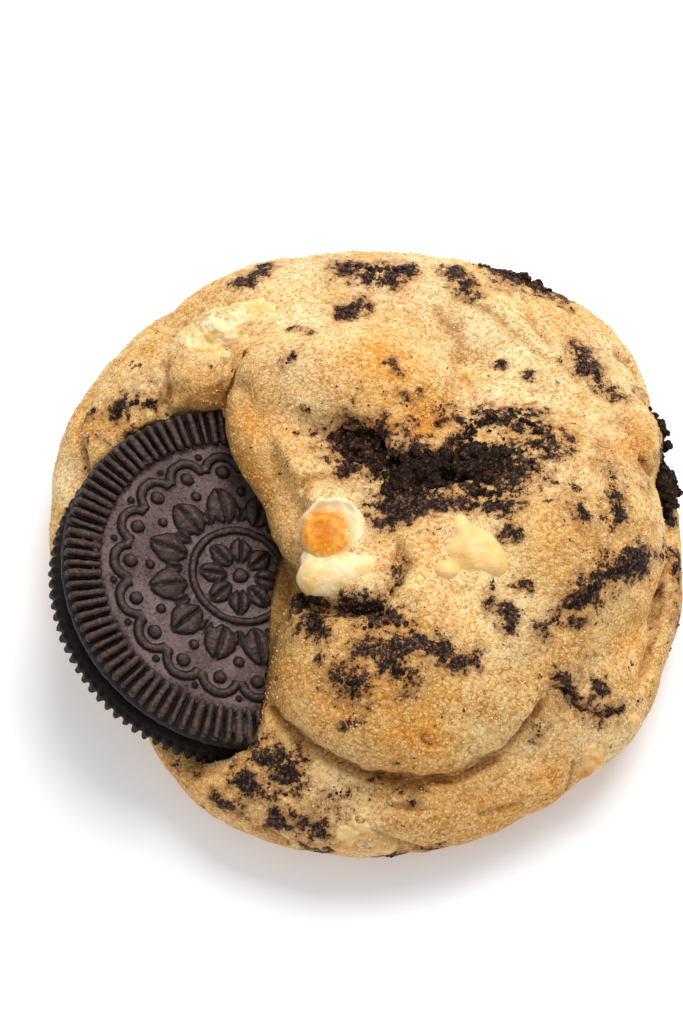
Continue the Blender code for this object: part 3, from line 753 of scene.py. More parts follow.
# Cookie crumb rubbed into the dough: corners of a patch's line, its width and its strength
COCOA = (
    # the crevice, under the pillow
    (((-4.4, 10.4, 21), (-1.0, 10.0, 21), (1.6, 7.8, 21)), 2.6, 1.0),
    (((-3.4, 7.0, 21), (-2.4, 4.6, 21.5)), 1.3, 0.9),
    (((2.4, 6.6, 21.5), (6.0, 4.6, 22), (10.0, 4.0, 22.4)), 3.6, 1.0),
    (((3.0, 0.6, 23), (7.0, 0.8, 23.6), (10.4, 2.0, 23)), 2.4, 0.95),
    (((10.4, 7.6, 22), (12.4, 8.6, 23)), 1.8, 0.8),
    (((11.6, 4.6, 22.8), (15.0, 4.4, 23.4), (17.6, 3.6, 24.4)), 3.0, 1.0),
    (((12.6, 0.6, 24.4), (16.4, 0.4, 25)), 1.8, 0.75),
    (((18.6, 5.8, 24), (19.6, 4.0, 25)), 1.6, 0.5),
    (((9.4, 12.6, 23.4), (9.8, 11.0, 23.2)), 0.9, 0.9),
    # the curved smear to its right
    (((12.4, 9.8, 23.4), (15.0, 11.4, 23), (18.4, 11.4, 23), (21.0, 9.4, 24),
      (21.8, 6.4, 24.6)), 1.6, 0.78),
    (((16.4, 12.4, 22.6), (21.4, 12.8, 22.2)), 0.7, 0.55),
    (((16.4, 9.0, 23.6), (17.6, 7.0, 24)), 1.1, 0.5),
    (((24.0, 9.6, 23.4), (24.8, 7.0, 24)), 0.7, 0.5),
    # the dark line along the right body's top edge
    (((1.2, -2.6, 23.6), (5.2, -2.0, 24.2), (8.8, -1.2, 24.6), (12.4, -1.0, 24.8),
      (17.0, -1.4, 25.2)), 0.7, 0.85),
    (((16.4, -5.2, 24.8), (17.8, -5.2, 24.8)), 0.7, 0.9),
    (((16.0, -2.2, 25), (18.4, -1.4, 25.2)), 0.7, 0.6),
    # under the chips
    (((3.7, -9.0, 23), (3.2, -11.8, 22.2), (1.4, -13.0, 21.8)), 0.7, 0.75),
    (((-9.4, -10.4, 19.6), (-6.6, -12.8, 21.2)), 1.5, 1.0),
    (((-6.4, -13.6, 21.6), (-5.6, -17.0, 22.5)), 1.2, 0.85),
    (((-7.6, -14.6, 21.4), (-8.6, -16.6, 21)), 0.7, 0.6),
    (((-2.6, -13.8, 22.2), (0.6, -14.2, 22.6), (3.2, -15.6, 23.6)), 1.3, 0.95),
    (((-0.6, -16.4, 24), (4.4, -17.0, 24.2)), 1.3, 0.5),
    (((-5.8, -18.4, 22.3), (-5.6, -20.6, 21.6)), 0.5, 0.5),
    # across the front fold
    (((-3.0, -23.2, 21.8), (-1.0, -23.6, 22)), 1.5, 0.95),
    (((-1.0, -19.6, 23.5), (0.6, -20.0, 23.6)), 1.0, 0.75),
    (((3.4, -19.6, 24), (7.0, -19.8, 23.8), (9.2, -19.4, 23.6)), 0.9, 0.85),
    (((2.6, -21.6, 23.4), (4.8, -23.0, 23)), 1.5, 0.6),
    (((4.6, -23.6, 22.8), (4.6, -24.0, 22.8)), 0.8, 0.9),
    (((9.6, -21.0, 23), (11.0, -21.2, 22.7), (12.6, -20.4, 22.4)), 1.0, 0.9),
    # the right streak
    (((33.4, -5.8, 19.8), (31.4, -7.2, 20.9)), 1.5, 1.0),
    (((31.4, -7.4, 20.9), (29.0, -9.0, 21.7), (27.4, -10.6, 21.8)), 1.2, 0.85),
    (((27.4, -10.6, 21.8), (25.8, -12.0, 21.8), (24.6, -12.8, 21.6)), 1.3, 0.85),
    (((25.6, -14.4, 20.8), (23.0, -14.6, 21.2), (21.4, -16.2, 21)), 1.0, 0.7),
    (((29.0, -6.4, 22.4), (27.4, -8.0, 22.6)), 0.8, 0.6),
    # single crumbs
    (((16.6, -14.6, 22.5), (16.8, -16.0, 22)), 0.7, 1.0),
    (((14.8, -13.2, 23.2), (14.6, -14.6, 22.8)), 0.5, 0.7),
    (((19.3, -11.3, 23.2),), 0.6, 0.9),
    (((26.6, -2.8, 24.5), (26.2, -1.6, 24.6)), 0.8, 0.8),
    (((25.2, 1.2, 24.8),), 0.8, 0.6),
    (((30.2, 2.8, 23), (30.4, -0.6, 22.9), (29.6, -2.6, 23.2)), 0.9, 0.75),
    (((35.2, 18.4, 14.4), (36.6, 14.0, 14), (37.4, 8.0, 12.6), (37.6, 4.6, 12)), 1.2, 0.9),
    (((36.6, -1.6, 15),), 0.6, 0.9),
    (((36.2, -3.8, 16),), 0.45, 0.9),
    (((38.0, -1.6, 10.4), (37.8, -4.4, 10.6)), 0.8, 0.7),
    (((36.1, -6.5, 12.3),), 0.8, 0.9),
    (((37.8, -8.4, 8), (37.0, -12.4, 7)), 0.8, 0.4),
    # the lower right
    (((23.0, -21.0, 17.8), (24.0, -22.0, 16.8)), 0.9, 0.9),
    (((27.9, -21.1, 15.2),), 0.9, 1.0),
    (((24.6, -22.8, 16), (26.0, -23.6, 14.8), (28.6, -24.0, 13.4), (30.8, -22.9, 12.8)), 0.7, 0.65),
    (((20.8, -25.8, 15.4), (20.4, -27.4, 14.2)), 0.5, 0.55),
    # the upper right
    (((26.4, 23.6, 18.8), (27.6, 21.0, 19)), 1.1, 0.8),
    (((28.2, 20.0, 18.8), (29.8, 18.2, 18.6), (31.4, 16.2, 19.2)), 1.0, 0.65),
    (((16.6, 21.1, 20.4),), 0.45, 1.0),
    (((20.1, 19.4, 20.4),), 0.45, 0.9),
    (((25.2, 32.0, 15.8),), 0.6, 0.7),
    # along the top
    (((-2.6, 34.0, 21.4), (0.4, 33.4, 22), (4.6, 33.4, 22)), 1.4, 0.72),
    (((-0.6, 32.0, 22.6), (3.0, 31.6, 22.7)), 0.9, 0.9),
    (((-2.8, 26.8, 23.4), (-0.8, 27.4, 23.4)), 0.9, 0.95),
    (((-15.6, 32.4, 19.6), (-13.4, 33.6, 19.6), (-12.6, 35.0, 19)), 0.9, 0.95),
    (((-9.8, 24.4, 24.4), (-8.6, 23.6, 25.2), (-6.8, 22.2, 25.8)), 0.45, 0.8),
    (((11.0, 33.2, 21), (12.6, 31.2, 21.7)), 1.1, 1.0),
    (((14.2, 35.2, 18.4), (17.0, 35.4, 17)), 1.2, 0.6),
    (((17.4, 35.0, 17), (20.8, 35.0, 14.5), (23.0, 33.6, 14.4)), 1.8, 0.95),
    (((24.6, 31.6, 16), (25.6, 30.6, 16)), 0.7, 0.6),
    # on the pillow
    (((4.4, 13.6, 25.4), (4.9, 12.6, 24.9)), 0.55, 0.85),
    (((6.6, 14.4, 25),), 0.4, 0.8),
    (((9.2, 13.2, 23.4),), 0.5, 0.8),
    (((5.6, 10.8, 23.8),), 0.8, 0.8),
    (((-7.6, 12.0, 24.6),), 0.35, 0.9),
    (((-10.3, 17.4, 26.1), (-8.8, 18.4, 26.6)), 0.4, 0.5),
    (((3.0, 17.8, 26.6), (4.0, 16.2, 26.5)), 0.25, 0.8),
    # the left rim
    (((-31.4, 15.8, 17.6), (-31.8, 16.8, 17.2)), 1.3, 0.95),
    (((-29.4, 17.0, 18.6), (-26.8, 16.6, 19.6)), 1.2, 0.6),
    (((-34.6, 16.9, 14.3),), 0.7, 0.7),
    (((-34.0, 13.0, 14.0), (-35.2, 9.6, 13)), 0.9, 0.35),
    (((-28.0, 12.8, 17.6), (-30.4, 11.4, 16.6)), 0.7, 0.5),
    # the lower left
    (((-12.7, -27.0, 13.8), (-13.2, -27.7, 13.2)), 0.8, 0.9),
    (((-12.3, -29.1, 13), (-11.1, -29.4, 11)), 1.1, 0.95),
    (((-9.9, -30.6, 10.6), (-8.6, -31.8, 10.6)), 1.3, 0.95),
    (((-15.3, -31.8, 12.1), (-13.5, -32.1, 10.6)), 1.1, 0.95),
    (((-17.7, -33.4, 9.8), (-15.9, -34.2, 10.2)), 0.9, 0.8),
    (((-11.1, -36.2, 10.3), (-10.1, -36.6, 10.3)), 0.8, 1.0),
    (((-9.3, -35.4, 11.4), (-8.0, -36.0, 11.1)), 0.7, 0.75),
    (((-7.1, -37.0, 10.2), (-5.4, -37.4, 10)), 0.9, 0.7),
    (((-6.8, -38.4, 7.6), (-5.0, -38.6, 7)), 0.9, 0.9),
    (((-21.5, -28.4, 9.6), (-21.0, -29.2, 9.4)), 0.6, 0.6),
    (((-8.9, -28.2, 12.6), (-8.1, -29.6, 12)), 0.6, 0.6),
    (((-4.6, -33.8, 12.4), (-2.6, -33.8, 12.6)), 0.8, 0.45),
    (((3.4, -37.8, 6), (2.4, -38.0, 5)), 0.9, 0.7),
    (((6.6, -38.2, 6.6), (8.4, -38.0, 6)), 0.7, 0.6),
    (((1.0, -32.8, 13.2), (4.4, -34.0, 12.6), (5.4, -34.6, 12.2)), 0.8, 0.35),
    (((-1.0, -36.4, 11),), 0.5, 0.7),
    (((-2.6, -27.4, 19),), 0.3, 0.7),
)
# Where the dough stays clean beside a patch
CLEAN = (
    ((8.6, 1.6, 23.6), 1.1, 0.7),
    ((4.4, 11.6, 25.0), 2.3, 0.9),
    ((0.0, 12.6, 25.0), 2.6, 0.8),
    ((-3.0, 13.2, 24.8), 2.4, 0.8),
    ((-6.8, 14.0, 24.6), 1.8, 0.7),
    ((-4.2, 11.6, 24.4), 2.2, 0.9),
    ((-8.0, 11.4, 24.0), 1.6, 0.8),
    ((13.4, 9.0, 23.0), 2.0, 0.9),
    ((20.6, 5.0, 24.4), 1.4, 0.5),
    ((9.0, 12.0, 24.4), 2.0, 0.6),
    ((1.2, 3.0, 22.6), 2.4, 0.9),
    ((-2.6, 1.6, 23.0), 2.6, 0.9),
    ((15.4, 8.6, 23.4), 1.4, 0.8),
    ((9.0, 8.6, 23.0), 1.1, 0.7),
    ((-7.0, -26.0, 17.0), 4.0, 0.8),
)
# Thin brown smears with few crumbs
SMEARED = (
    ((-31.0, 13.0, 16.5), 4.0, 0.7),
    ((-28.8, 16.7, 17.8), 4.0, 0.8),
    ((-27.0, 19.4, 17.9), 3.0, 0.6),
    ((-15.0, 33.8, 19.4), 3.4, 0.5),
    ((1.0, 33.0, 22.2), 5.0, 0.6),
    ((17.0, 34.6, 17.6), 5.4, 0.75),
    ((28.0, 20.6, 18.9), 4.0, 0.7),
    ((10.4, 23.4, 22.8), 2.2, 0.4),
    ((16.4, 8.4, 24.0), 4.6, 0.55),
    ((16.0, 3.2, 24.2), 4.6, 0.5),
    ((14.0, -1.0, 25.0), 3.0, 0.45),
    ((29.2, -1.6, 23.2), 4.4, 0.8),
    ((29.6, 9.0, 21.8), 3.4, 0.7),
    ((29.6, 4.6, 22.6), 3.4, 0.7),
    ((24.6, -2.0, 24.8), 3.0, 0.45),
    ((33.6, 4.2, 19.4), 3.6, 0.6),
    ((4.0, -20.6, 23.6), 5.0, 0.6),
    ((3.4, -10.0, 23.4), 1.5, 0.9),
    ((2.2, -12.0, 22.4), 2.0, 0.9),
    ((20.0, -17.6, 21.4), 4.0, 0.4),
    ((33.6, 7.0, 20.0), 3.0, 0.5),
    ((-25.6, 18.0, 18.2), 2.4, 0.9),
    ((31.4, 11.6, 20.6), 3.0, 0.55),
    ((-5.0, -15.6, 22.4), 4.0, 0.6),
    ((2.0, -16.6, 24.0), 3.4, 0.55),
    ((28.4, -7.6, 22.2), 5.0, 0.75),
    ((26.8, -18.4, 17.6), 4.0, 0.6),
    ((24.4, -22.2, 16.6), 3.4, 0.6),
    ((37.6, -8.0, 10.0), 3.6, 0.6),
    ((21.6, -26.4, 14.6), 2.0, 0.5),
    ((-13.0, -29.6, 12.5), 4.4, 0.75),
    ((-10.5, -33.7, 10.6), 5.4, 0.8),
    ((-5.4, -35.8, 11.0), 4.4, 0.7),
    ((3.2, -33.6, 12.8), 4.4, 0.65),
    ((12.0, -33.8, 12.2), 3.6, 0.45),
)


def shaded_creases(points, surface):
    """How deep in a crease each point lies, and how near the flap's rolled edge, for the darker
    colour of the painted shade there.
    """
    depths = np.zeros(len(points))
    for corners, depth, width, _, _, _ in CREASES:
        spots, ups = onto(surface, crease_line(corners))
        near, distance, _, along = from_line(points, spots, ups, 2.0)
        if len(near):
            fade = np.clip(np.minimum(along, 1 - along) / 0.2, 0, 1) * min(1.0, depth / 1.4)
            depth_here = fade * falloff(distance, 0.2 + 0.35 * width)
            depths[near] = np.maximum(depths[near], depth_here)
    return np.maximum(depths, 0.8 * falloff(distance_to(points, flap_line[::8]), FLAP_ROUNDING))


def store(piece, name, values):
    """Keeps one number for each of the piece's points, for its material."""
    attribute = piece.data.attributes.new(name, "FLOAT", "POINT")
    attribute.data.foreach_set("value", np.asarray(values, dtype=np.float32))


surface = surface_of(dough)
points = points_of(dough)
cocoa = np.zeros(len(points))
stain = spread(points, SMEARED)
for corners, width, strength in COCOA:
    spots, normals = onto(surface, smooth_route(corners, 0.3))
    near, distance, _, _ = from_line(points, spots, normals, 3.0 * width + 1.6)
    if len(near):
        crumb_here = strength * falloff(distance, 1.45 * width + 0.2)
        stain_here = strength * falloff(distance, 1.3 * width + 0.7)
        cocoa[near] = np.maximum(cocoa[near], crumb_here)
        stain[near] = np.maximum(stain[near], stain_here)
clean = 1 - spread(points, CLEAN)
cocoa *= clean
stain *= 0.4 + 0.6 * clean
patchy = 0.5 + 0.5 * bumps(points, 0.9, 8.0, octaves=3)
black = np.clip((cocoa - 0.92 * (1 - patchy) - 0.05) * 5.0, 0, 1)
store(dough, "cocoa", cocoa)
store(dough, "stain", np.clip(stain, 0, 1))
# baked toast, with painted shade on the tail's left flank among it
store(dough, "toast_and_shade", spread(points, TOAST_AND_SHADE))
# painted shade: darker in the creases and down the flap's rolled edge
store(dough, "crease", shaded_creases(points, surface))
store(dough, "pale", spread(points, PALE))
# The dough is milky round the chips, and along the back left ridge
milky_places = [
    ((-23.0, 25.0, 18.8), 2.4, 1.0),
    ((-19.3, 26.8, 20.0), 2.6, 1.0),
    ((-14.9, 27.6, 21.5), 2.6, 1.0),
    ((-10.8, 26.4, 22.8), 2.2, 0.9),
    ((9.6, -6.4, 24.0), 2.2, 0.5),
    ((12.0, -6.6, 24.2), 3.8, 0.8),
]
for lumps in CHIPS.values():
    for middle, half_sizes, _ in lumps:
        milky_places.append((middle, 1.3 * sum(half_sizes[:2]) / 2, 0.9))
milky = spread(points, milky_places) * (0.75 + 0.5 * bumps(points, 1.4, 28.0, octaves=2))
store(dough, "milky", np.clip(milky, 0, 1))
# Solid patches of crumb stand a little proud
set_points(dough, points + normals_of(dough) * (0.22 * black * (points[:, 2] > 0.4))[:, None])


def paint(red, green, blue):
    """A colour as it looks on a screen, 0 to 255, turned into the renderer's linear values."""
    linear = []
    for level in (red, green, blue):
        share = level / 255
        linear.append(share / 12.92 if share <= 0.04045 else ((share + 0.055) / 1.055) ** 2.4)
    return (*linear, 1.0)


def put(tree, kind, sockets=(), **settings):
    """Adds a shader node. Its sockets take either a value or another node's output."""
    made = tree.nodes.new("ShaderNode" + kind)
    for name, value in settings.items():
        setattr(made, name, value)
    for key, value in dict(sockets).items():
        if isinstance(value, bpy.types.NodeSocket):
            tree.links.new(value, made.inputs[key])
        else:
            made.inputs[key].default_value = value
    return made


def new_group(name, inputs, outputs):
    """A shader node group with its sockets' names and kinds, and their ends inside it."""
    group = bpy.data.node_groups.new(name, "ShaderNodeTree")
    for way, sockets in (("INPUT", inputs), ("OUTPUT", outputs)):
        for socket, kind in sockets.items():
            group.interface.new_socket(socket, in_out=way, socket_type="NodeSocket" + kind)
    given = group.nodes.new("NodeGroupInput").outputs
    result = group.nodes.new("NodeGroupOutput").inputs
    return group, given, result


def sums(tree, operation, one, two=0.0, three=0.0):
    return put(tree, "Math", {0: one, 1: two, 2: three}, operation=operation).outputs[0]


def times(tree, one, two):
    return sums(tree, "MULTIPLY", one, two)


def times_plus(tree, one, two, three):
    """One times two, plus three."""
    return sums(tree, "MULTIPLY_ADD", one, two, three)


def rise(tree, value, low, high):
    """0 below low, 1 above high, and a soft step between."""
    ends = {"Value": value, "From Min": low, "From Max": high}
    return put(tree, "MapRange", ends, interpolation_type="SMOOTHSTEP").outputs[0]


def blend(tree, share, one, two, kind="MIX"):
    sockets = {0: share, 6: one, 7: two}
    return put(tree, "Mix", sockets, data_type="RGBA", blend_type=kind).outputs[2]


def cloud(tree, place, size, detail=2.0, roughness=0.5):
    """Soft noise with humps of a given size in millimetres."""
    sockets = {"Vector": place, "Scale": 1 / (size * MM), "Detail": detail, "Roughness": roughness}
    return put(tree, "TexNoise", sockets).outputs["Fac"]


def attribute(tree, name):
    return put(tree, "Attribute", attribute_name=name).outputs["Fac"]


def wire(tree, shader, colour, rough, height, depth):
    """Connects a material's colour, its roughness, and its fine relief, of a depth in mm."""
    tree.links.new(colour, shader.inputs["Base Color"])
    if rough is not None:
        tree.links.new(rough, shader.inputs["Roughness"])
    relief = put(tree, "Bump", {"Strength": 1.0, "Distance": depth * MM, "Height": height})
    tree.links.new(relief.outputs[0], shader.inputs["Normal"])


# Sandy grain, shared by dough, chips and crumb: each grain's lightness, height and glint
grain_group, given, result = new_group(
    "sandy_grain",
    {"Place": "Vector", "Scale": "Float"},
    {"Light": "Float", "Height": "Float", "Glint": "Float"},
)
sockets = {"Vector": given["Place"], "Scale": given["Scale"], "Randomness": 1.0}
cells = put(grain_group, "TexVoronoi", sockets).outputs
finer_scale = times(grain_group, given["Scale"], 1.7)
sockets = {"Vector": given["Place"], "Scale": finer_scale, "Detail": 2.0}
finer = put(grain_group, "TexNoise", sockets).outputs["Fac"]
tint = put(grain_group, "SeparateColor", {0: cells["Color"]}).outputs
hump = sums(grain_group, "SUBTRACT", 1.0, cells["Distance"])
light = times_plus(grain_group, tint[0], 0.40, times(grain_group, finer, 0.30))
grain_group.links.new(times_plus(grain_group, hump, 0.34, light), result["Light"])
grain_group.links.new(tint[1], result["Glint"])
height = times_plus(grain_group, hump, 0.6, times(grain_group, finer, 0.7))
grain_group.links.new(height, result["Height"])


def sandy_grain(tree, place, scale):
    sockets = {"Place": place, "Scale": scale}
    return put(tree, "Group", sockets, node_tree=grain_group).outputs


# Specks, shared by dough, wafers and chips: the middles of those cells whose random number, from
# the first or the second channel, is high enough
speck_group, given, result = new_group(
    "specks",
    {"Place": "Vector", "Scale": "Float", "Channel": "Float", "Gain": "Float", "Cut": "Float"},
    {"Mask": "Float"},
)
sockets = {"Vector": given["Place"], "Scale": given["Scale"], "Randomness": 1.0}
cells = put(speck_group, "TexVoronoi", sockets).outputs
picks = put(speck_group, "SeparateColor", {0: cells["Color"]}).outputs
apart = sums(speck_group, "SUBTRACT", picks[1], picks[0])
pick = times_plus(speck_group, apart, given["Channel"], picks[0])
width = times_plus(speck_group, pick, given["Gain"], given["Cut"])
mask = sums(speck_group, "LESS_THAN", cells["Distance"], width)
speck_group.links.new(mask, result["Mask"])


def specks(tree, place, size, channel, gain, cut):
    """1 in specks, cut from cells of about a given size in millimetres, and 0 elsewhere."""
    sockets = {"Place": place, "Scale": 1 / (size * MM), "Channel": channel, "Gain": gain}
    return put(tree, "Group", {**sockets, "Cut": cut}, node_tree=speck_group).outputs["Mask"]


dough_finish, tree, shader = new_material("baked_dough")
place = put(tree, "TexCoord").outputs["Object"]
grain = sandy_grain(tree, place, 2850.0)
grain_light = grain["Light"]
wide = cloud(tree, place, 13.0, 3.0)
middling = cloud(tree, place, 3.4, 3.0)
tiny = cloud(tree, place, 0.26, 2.0)
colour = blend(tree, rise(tree, wide, 0.36, 0.66), paint(232, 192, 124), paint(218, 164, 84))
colour = blend(tree, rise(tree, middling, 0.42, 0.72), colour, paint(202, 148, 70))
colour = blend(tree, times(tree, attribute(tree, "pale"), 0.9), colour, paint(238, 211, 162))
# baked toast, and painted shade on the tail's left flank, turn the dough golden and brown
toast_and_shade_share = times(tree, attribute(tree, "toast_and_shade"), times_plus(tree, middling, 0.9, 0.5))
colour = blend(tree, rise(tree, toast_and_shade_share, 0.02, 0.95), colour, paint(226, 150, 44))
colour = blend(tree, rise(tree, toast_and_shade_share, 0.95, 1.5), colour, paint(176, 92, 30))
# browner towards the foot, in patches: partly the bake, partly painted shade on the low sides
height_up = put(tree, "SeparateXYZ", {0: place}).outputs["Z"]
browned = times(tree, rise(tree, height_up, 12 * MM, 3 * MM), rise(tree, wide, 0.2, 0.6))
colour = blend(tree, times(tree, browned, 0.75), colour, paint(206, 146, 74))
colour = blend(tree, attribute(tree, "milky"), colour, paint(246, 219, 165))
# lighter and darker grains
dark_grain = blend(tree, 1.0, colour, paint(214, 194, 162), "MULTIPLY")
light_grain = blend(tree, 0.44, colour, paint(255, 240, 196))
colour = blend(tree, rise(tree, grain_light, 0.28, 0.50), dark_grain, colour)
colour = blend(tree, rise(tree, grain_light, 0.54, 0.78), colour, light_grain)
# painted shade: brown in the creases and down the flap's rolled edge, near black where they are
# deepest
crease_shade = attribute(tree, "crease")
colour = blend(tree, times(tree, crease_shade, 0.9), colour, paint(164, 108, 46))
colour = blend(tree, times(tree, rise(tree, crease_shade, 0.55, 1.0), 0.6), colour, paint(84, 48, 26))
# tiny dark specks
speck = specks(tree, place, 1.15, 0, 0.20, -0.085)
colour = blend(tree, times(tree, speck, 0.75), colour, paint(84, 50, 32))
# rubbed-in cocoa: a thin brown stain, a peppering of crumb, and solid black
stained = attribute(tree, "stain")
crumbed = attribute(tree, "cocoa")
broken = cloud(tree, place, 1.3, 8.0, 0.74)
drift = cloud(tree, place, 4.2, 2.0)
noisy = times_plus(tree, broken, 1.9, times_plus(tree, drift, 0.5, -0.70))
density = times_plus(tree, crumbed, 0.42, times(tree, stained, 0.06))
density = sums(tree, "ADD", density, noisy)
density = sums(tree, "ADD", density, times_plus(tree, grain_light, 0.26, -0.14))
washed = times(tree, stained, rise(tree, sums(tree, "ADD", drift, broken), 0.75, 1.25))
colour = blend(tree, times(tree, washed, 0.6), colour, paint(156, 114, 78))
nearby = rise(tree, sums(tree, "ADD", stained, crumbed), 0.05, 0.7)
stain_mask = times(tree, rise(tree, density, 0.42, 0.76), nearby)
colour = blend(tree, times(tree, stain_mask, 0.6), colour, paint(136, 82, 42))
pepper = specks(tree, place, 0.5, 0, times(tree, nearby, 0.42), -0.12)
colour = blend(tree, times(tree, pepper, 0.8), colour, paint(66, 36, 22))
crumb_mask = rise(tree, density, 0.77, 0.84)
# lighter crumb grains: partly their own tone, partly painted glints
crumb_tone_and_glint = rise(tree, grain_light, 0.46, 0.90)
crumb_colour = blend(tree, crumb_tone_and_glint, paint(20, 11, 8), paint(126, 82, 58))
colour = blend(tree, crumb_mask, colour, crumb_colour)
glint = rise(tree, grain["Glint"], 0.80, 0.84)
rough = times_plus(tree, glint, -0.26, times_plus(tree, crumb_mask, 0.14, 0.66))
height = times_plus(tree, grain["Height"], 1.0, times(tree, tiny, 0.5))
height = sums(tree, "ADD", height, times(tree, crumb_mask, times(tree, broken, 3.0)))
wire(tree, shader, colour, rough, height, 0.13)
set_shader(
    shader,
    Subsurface_Weight=0.10,
    Subsurface_Radius=(1.0, 0.55, 0.25),
    Subsurface_Scale=0.8 * MM,
    Specular_IOR_Level=0.25,
)


def dress(piece, finish):
    piece.data.shade_smooth()
    piece.data.materials.clear()
    piece.data.materials.append(finish)


dress(dough, dough_finish)
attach(dough, "root")
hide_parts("dough")

# ---------------------------------------------------------------- sandwich cookie
# Two round chocolate wafers, pressed from dark cocoa dough with a radially ridged rim and a raised
# pattern, and stuck together with cream. One end is broken off inside the dough.

RIDGES, RIDGE_INNER, RIDGE_WIDTH = 96, 17.7, 0.9
# Heights in the wafer's own frame: its back, the field its pattern stands on, the ridges' tops
WAFER_BACK, FIELD, RIDGE_TOP = -1.3, 1.0, 1.80
ARCHES, PETALS, FLOWER_PETALS = 18, 12, 8


def turned(profile, name, steps=192):
    """A solid turned about +Z from a profile of radius and height, which starts and ends on it."""
    deselect_all()
    mesh = bpy.data.meshes.new(name)
    made = bpy.data.objects.new(name, mesh)
    bpy.context.scene.collection.objects.link(made)
    edges = [(at, at + 1) for at in range(len(profile) - 1)]
    mesh.from_pydata([(radius * MM, 0, height * MM) for radius, height in profile], edges, [])
    take(made)
    bpy.ops.object.mode_set(mode="EDIT")
    bpy.ops.mesh.select_all(action="SELECT")
    bpy.ops.mesh.spin(steps=steps, angle=2 * math.pi, center=(0, 0, 0), axis=(0, 0, 1))
    bpy.ops.mesh.select_all(action="SELECT")
    bpy.ops.mesh.remove_doubles(threshold=0.01 * MM)
    bpy.ops.mesh.normals_make_consistent(inside=False)
    bpy.ops.object.mode_set(mode="OBJECT")
    return made


def ring_of(model, count, first_turn=0.0, unevenness=0.0):
    """Copies of a piece in a circle about +Z, each a little wider or flatter than the next."""
    copies = []
    for number in range(count):
        copy = model.copy()
        copy.data = model.data.copy()
        wide = 1 + unevenness * noise.noise(Vector((number * 0.73, 2.0, 0)))
        high = 1 + 0.5 * unevenness * noise.noise(Vector((number * 0.61, 7.0, 0)))
        copy.data.transform(Matrix.Diagonal((1, wide, high, 1)))
        copy.data.transform(Matrix.Rotation(2 * math.pi * number / count + first_turn, 4, "Z"))
        bpy.context.scene.collection.objects.link(copy)
        copies.append(copy)
    bpy.data.objects.remove(model, do_unlink=True)
    return copies


def bar(inner, outer, width, low, high):
    """A ridge along +X with rounded ends and top."""
    deselect_all()
    bpy.ops.mesh.primitive_cube_add(size=1.0)
    made = bpy.context.object
    made.data.transform(Matrix.Diagonal(((outer - inner) * MM, width * MM, (high - low) * MM, 1)))
    made.data.transform(Matrix.Translation(Vector(((inner + outer) / 2, 0, (high + low) / 2)) * MM))
    modify(made, "BEVEL", width=0.38 * MM, segments=4)
    shape = points_of(made)
    shape[:, 1] *= 0.35 + 0.65 * shape[:, 0] / outer
    set_points(made, shape)
    return made


def bead(distance, radius, flatness=0.9):
    deselect_all()
    bpy.ops.mesh.primitive_ico_sphere_add(subdivisions=3, radius=radius * MM)
    made = bpy.context.object
    made.data.transform(Matrix.Diagonal((1, 1, flatness, 1)))
    made.data.transform(Matrix.Translation(Vector((distance, 0, FIELD)) * MM))
    return made


def petal(distance, long, wide, high):
    """A leaf pointing outwards, with a point at each end."""
    deselect_all()
    bpy.ops.mesh.primitive_ico_sphere_add(subdivisions=4, radius=1.0)
    made = bpy.context.object
    shape = points_of(made) * MM
    narrowing = np.sqrt(np.clip(1 - np.abs(shape[:, 0]) ** 1.6, 0, 1))
    shape[:, 1] *= narrowing
    shape *= np.array((long / 2, wide / 2, high))
    shape[:, 2] *= 1 - 0.9 * np.exp(-((shape[:, 1] / 0.26) ** 2)) * (shape[:, 2] > 0)
    set_points(made, shape + np.array((distance, 0, FIELD)))
    return made


def hoop(radius, thickness, segments):
    deselect_all()
    bpy.ops.mesh.primitive_torus_add(
        major_radius=radius * MM,
        minor_radius=thickness * MM,
        major_segments=segments,
        minor_segments=10,
    )
    made = bpy.context.object
    made.data.transform(Matrix.Translation((0, 0, FIELD * MM)))
    return made


def arch(distance, radius, thickness):
    """Half a ring, open towards the middle of the wafer."""
    made = hoop(radius, thickness, 40)
    cut_off(made, (0, 0, 0), (1, 0, 0))
    made.data.transform(Matrix.Translation((distance * MM, 0, 0)))
    return made


def press_wafer(name, toothed):
    """One wafer, face up in its own flat frame."""
    rim = 22.1 if toothed else WAFER_RADIUS
    profile = (
        (0, WAFER_BACK), (20.8, WAFER_BACK), (rim - 0.5, -1.05), (rim - 0.12, -0.55), (rim, 0.0),
        (rim - 0.12, 0.45), (rim - 0.5, 0.72), (20.8, 0.62), (18.2, 0.62), (17.5, 0.88),
        (17.1, FIELD), (0, FIELD),
    )
    parts = [turned(profile, name)]
    parts += ring_of(bar(RIDGE_INNER, rim - 0.15, RIDGE_WIDTH, 0.2, RIDGE_TOP), RIDGES, 0.0, 0.5)
    if toothed:
        parts += ring_of(bar(20.4, 22.5, 0.86, -0.75, 1.3), RIDGES)
    # the pattern: arches with beads in and between them, a ring of petals with beads and leaves
    # between them, and a flower in a hoop
    parts += ring_of(arch(13.9, 2.2, 0.58), ARCHES)
    parts += ring_of(bead(14.0, 0.85), ARCHES)
    parts += ring_of(petal(9.5, 5.4, 4.1, 0.85), PETALS, math.pi / PETALS)
    parts += ring_of(bead(11.5, 0.6), PETALS)
    parts += ring_of(petal(8.4, 2.6, 1.5, 0.6), PETALS)
    parts += ring_of(bead(16.3, 0.42), ARCHES, math.pi / ARCHES)
    parts += [hoop(6.1, 0.5, 96)]
    parts += ring_of(petal(3.5, 4.0, 2.7, 0.66), FLOWER_PETALS)
    parts += [bead(0.0, 1.0, 0.6)]
    return join(parts, name)


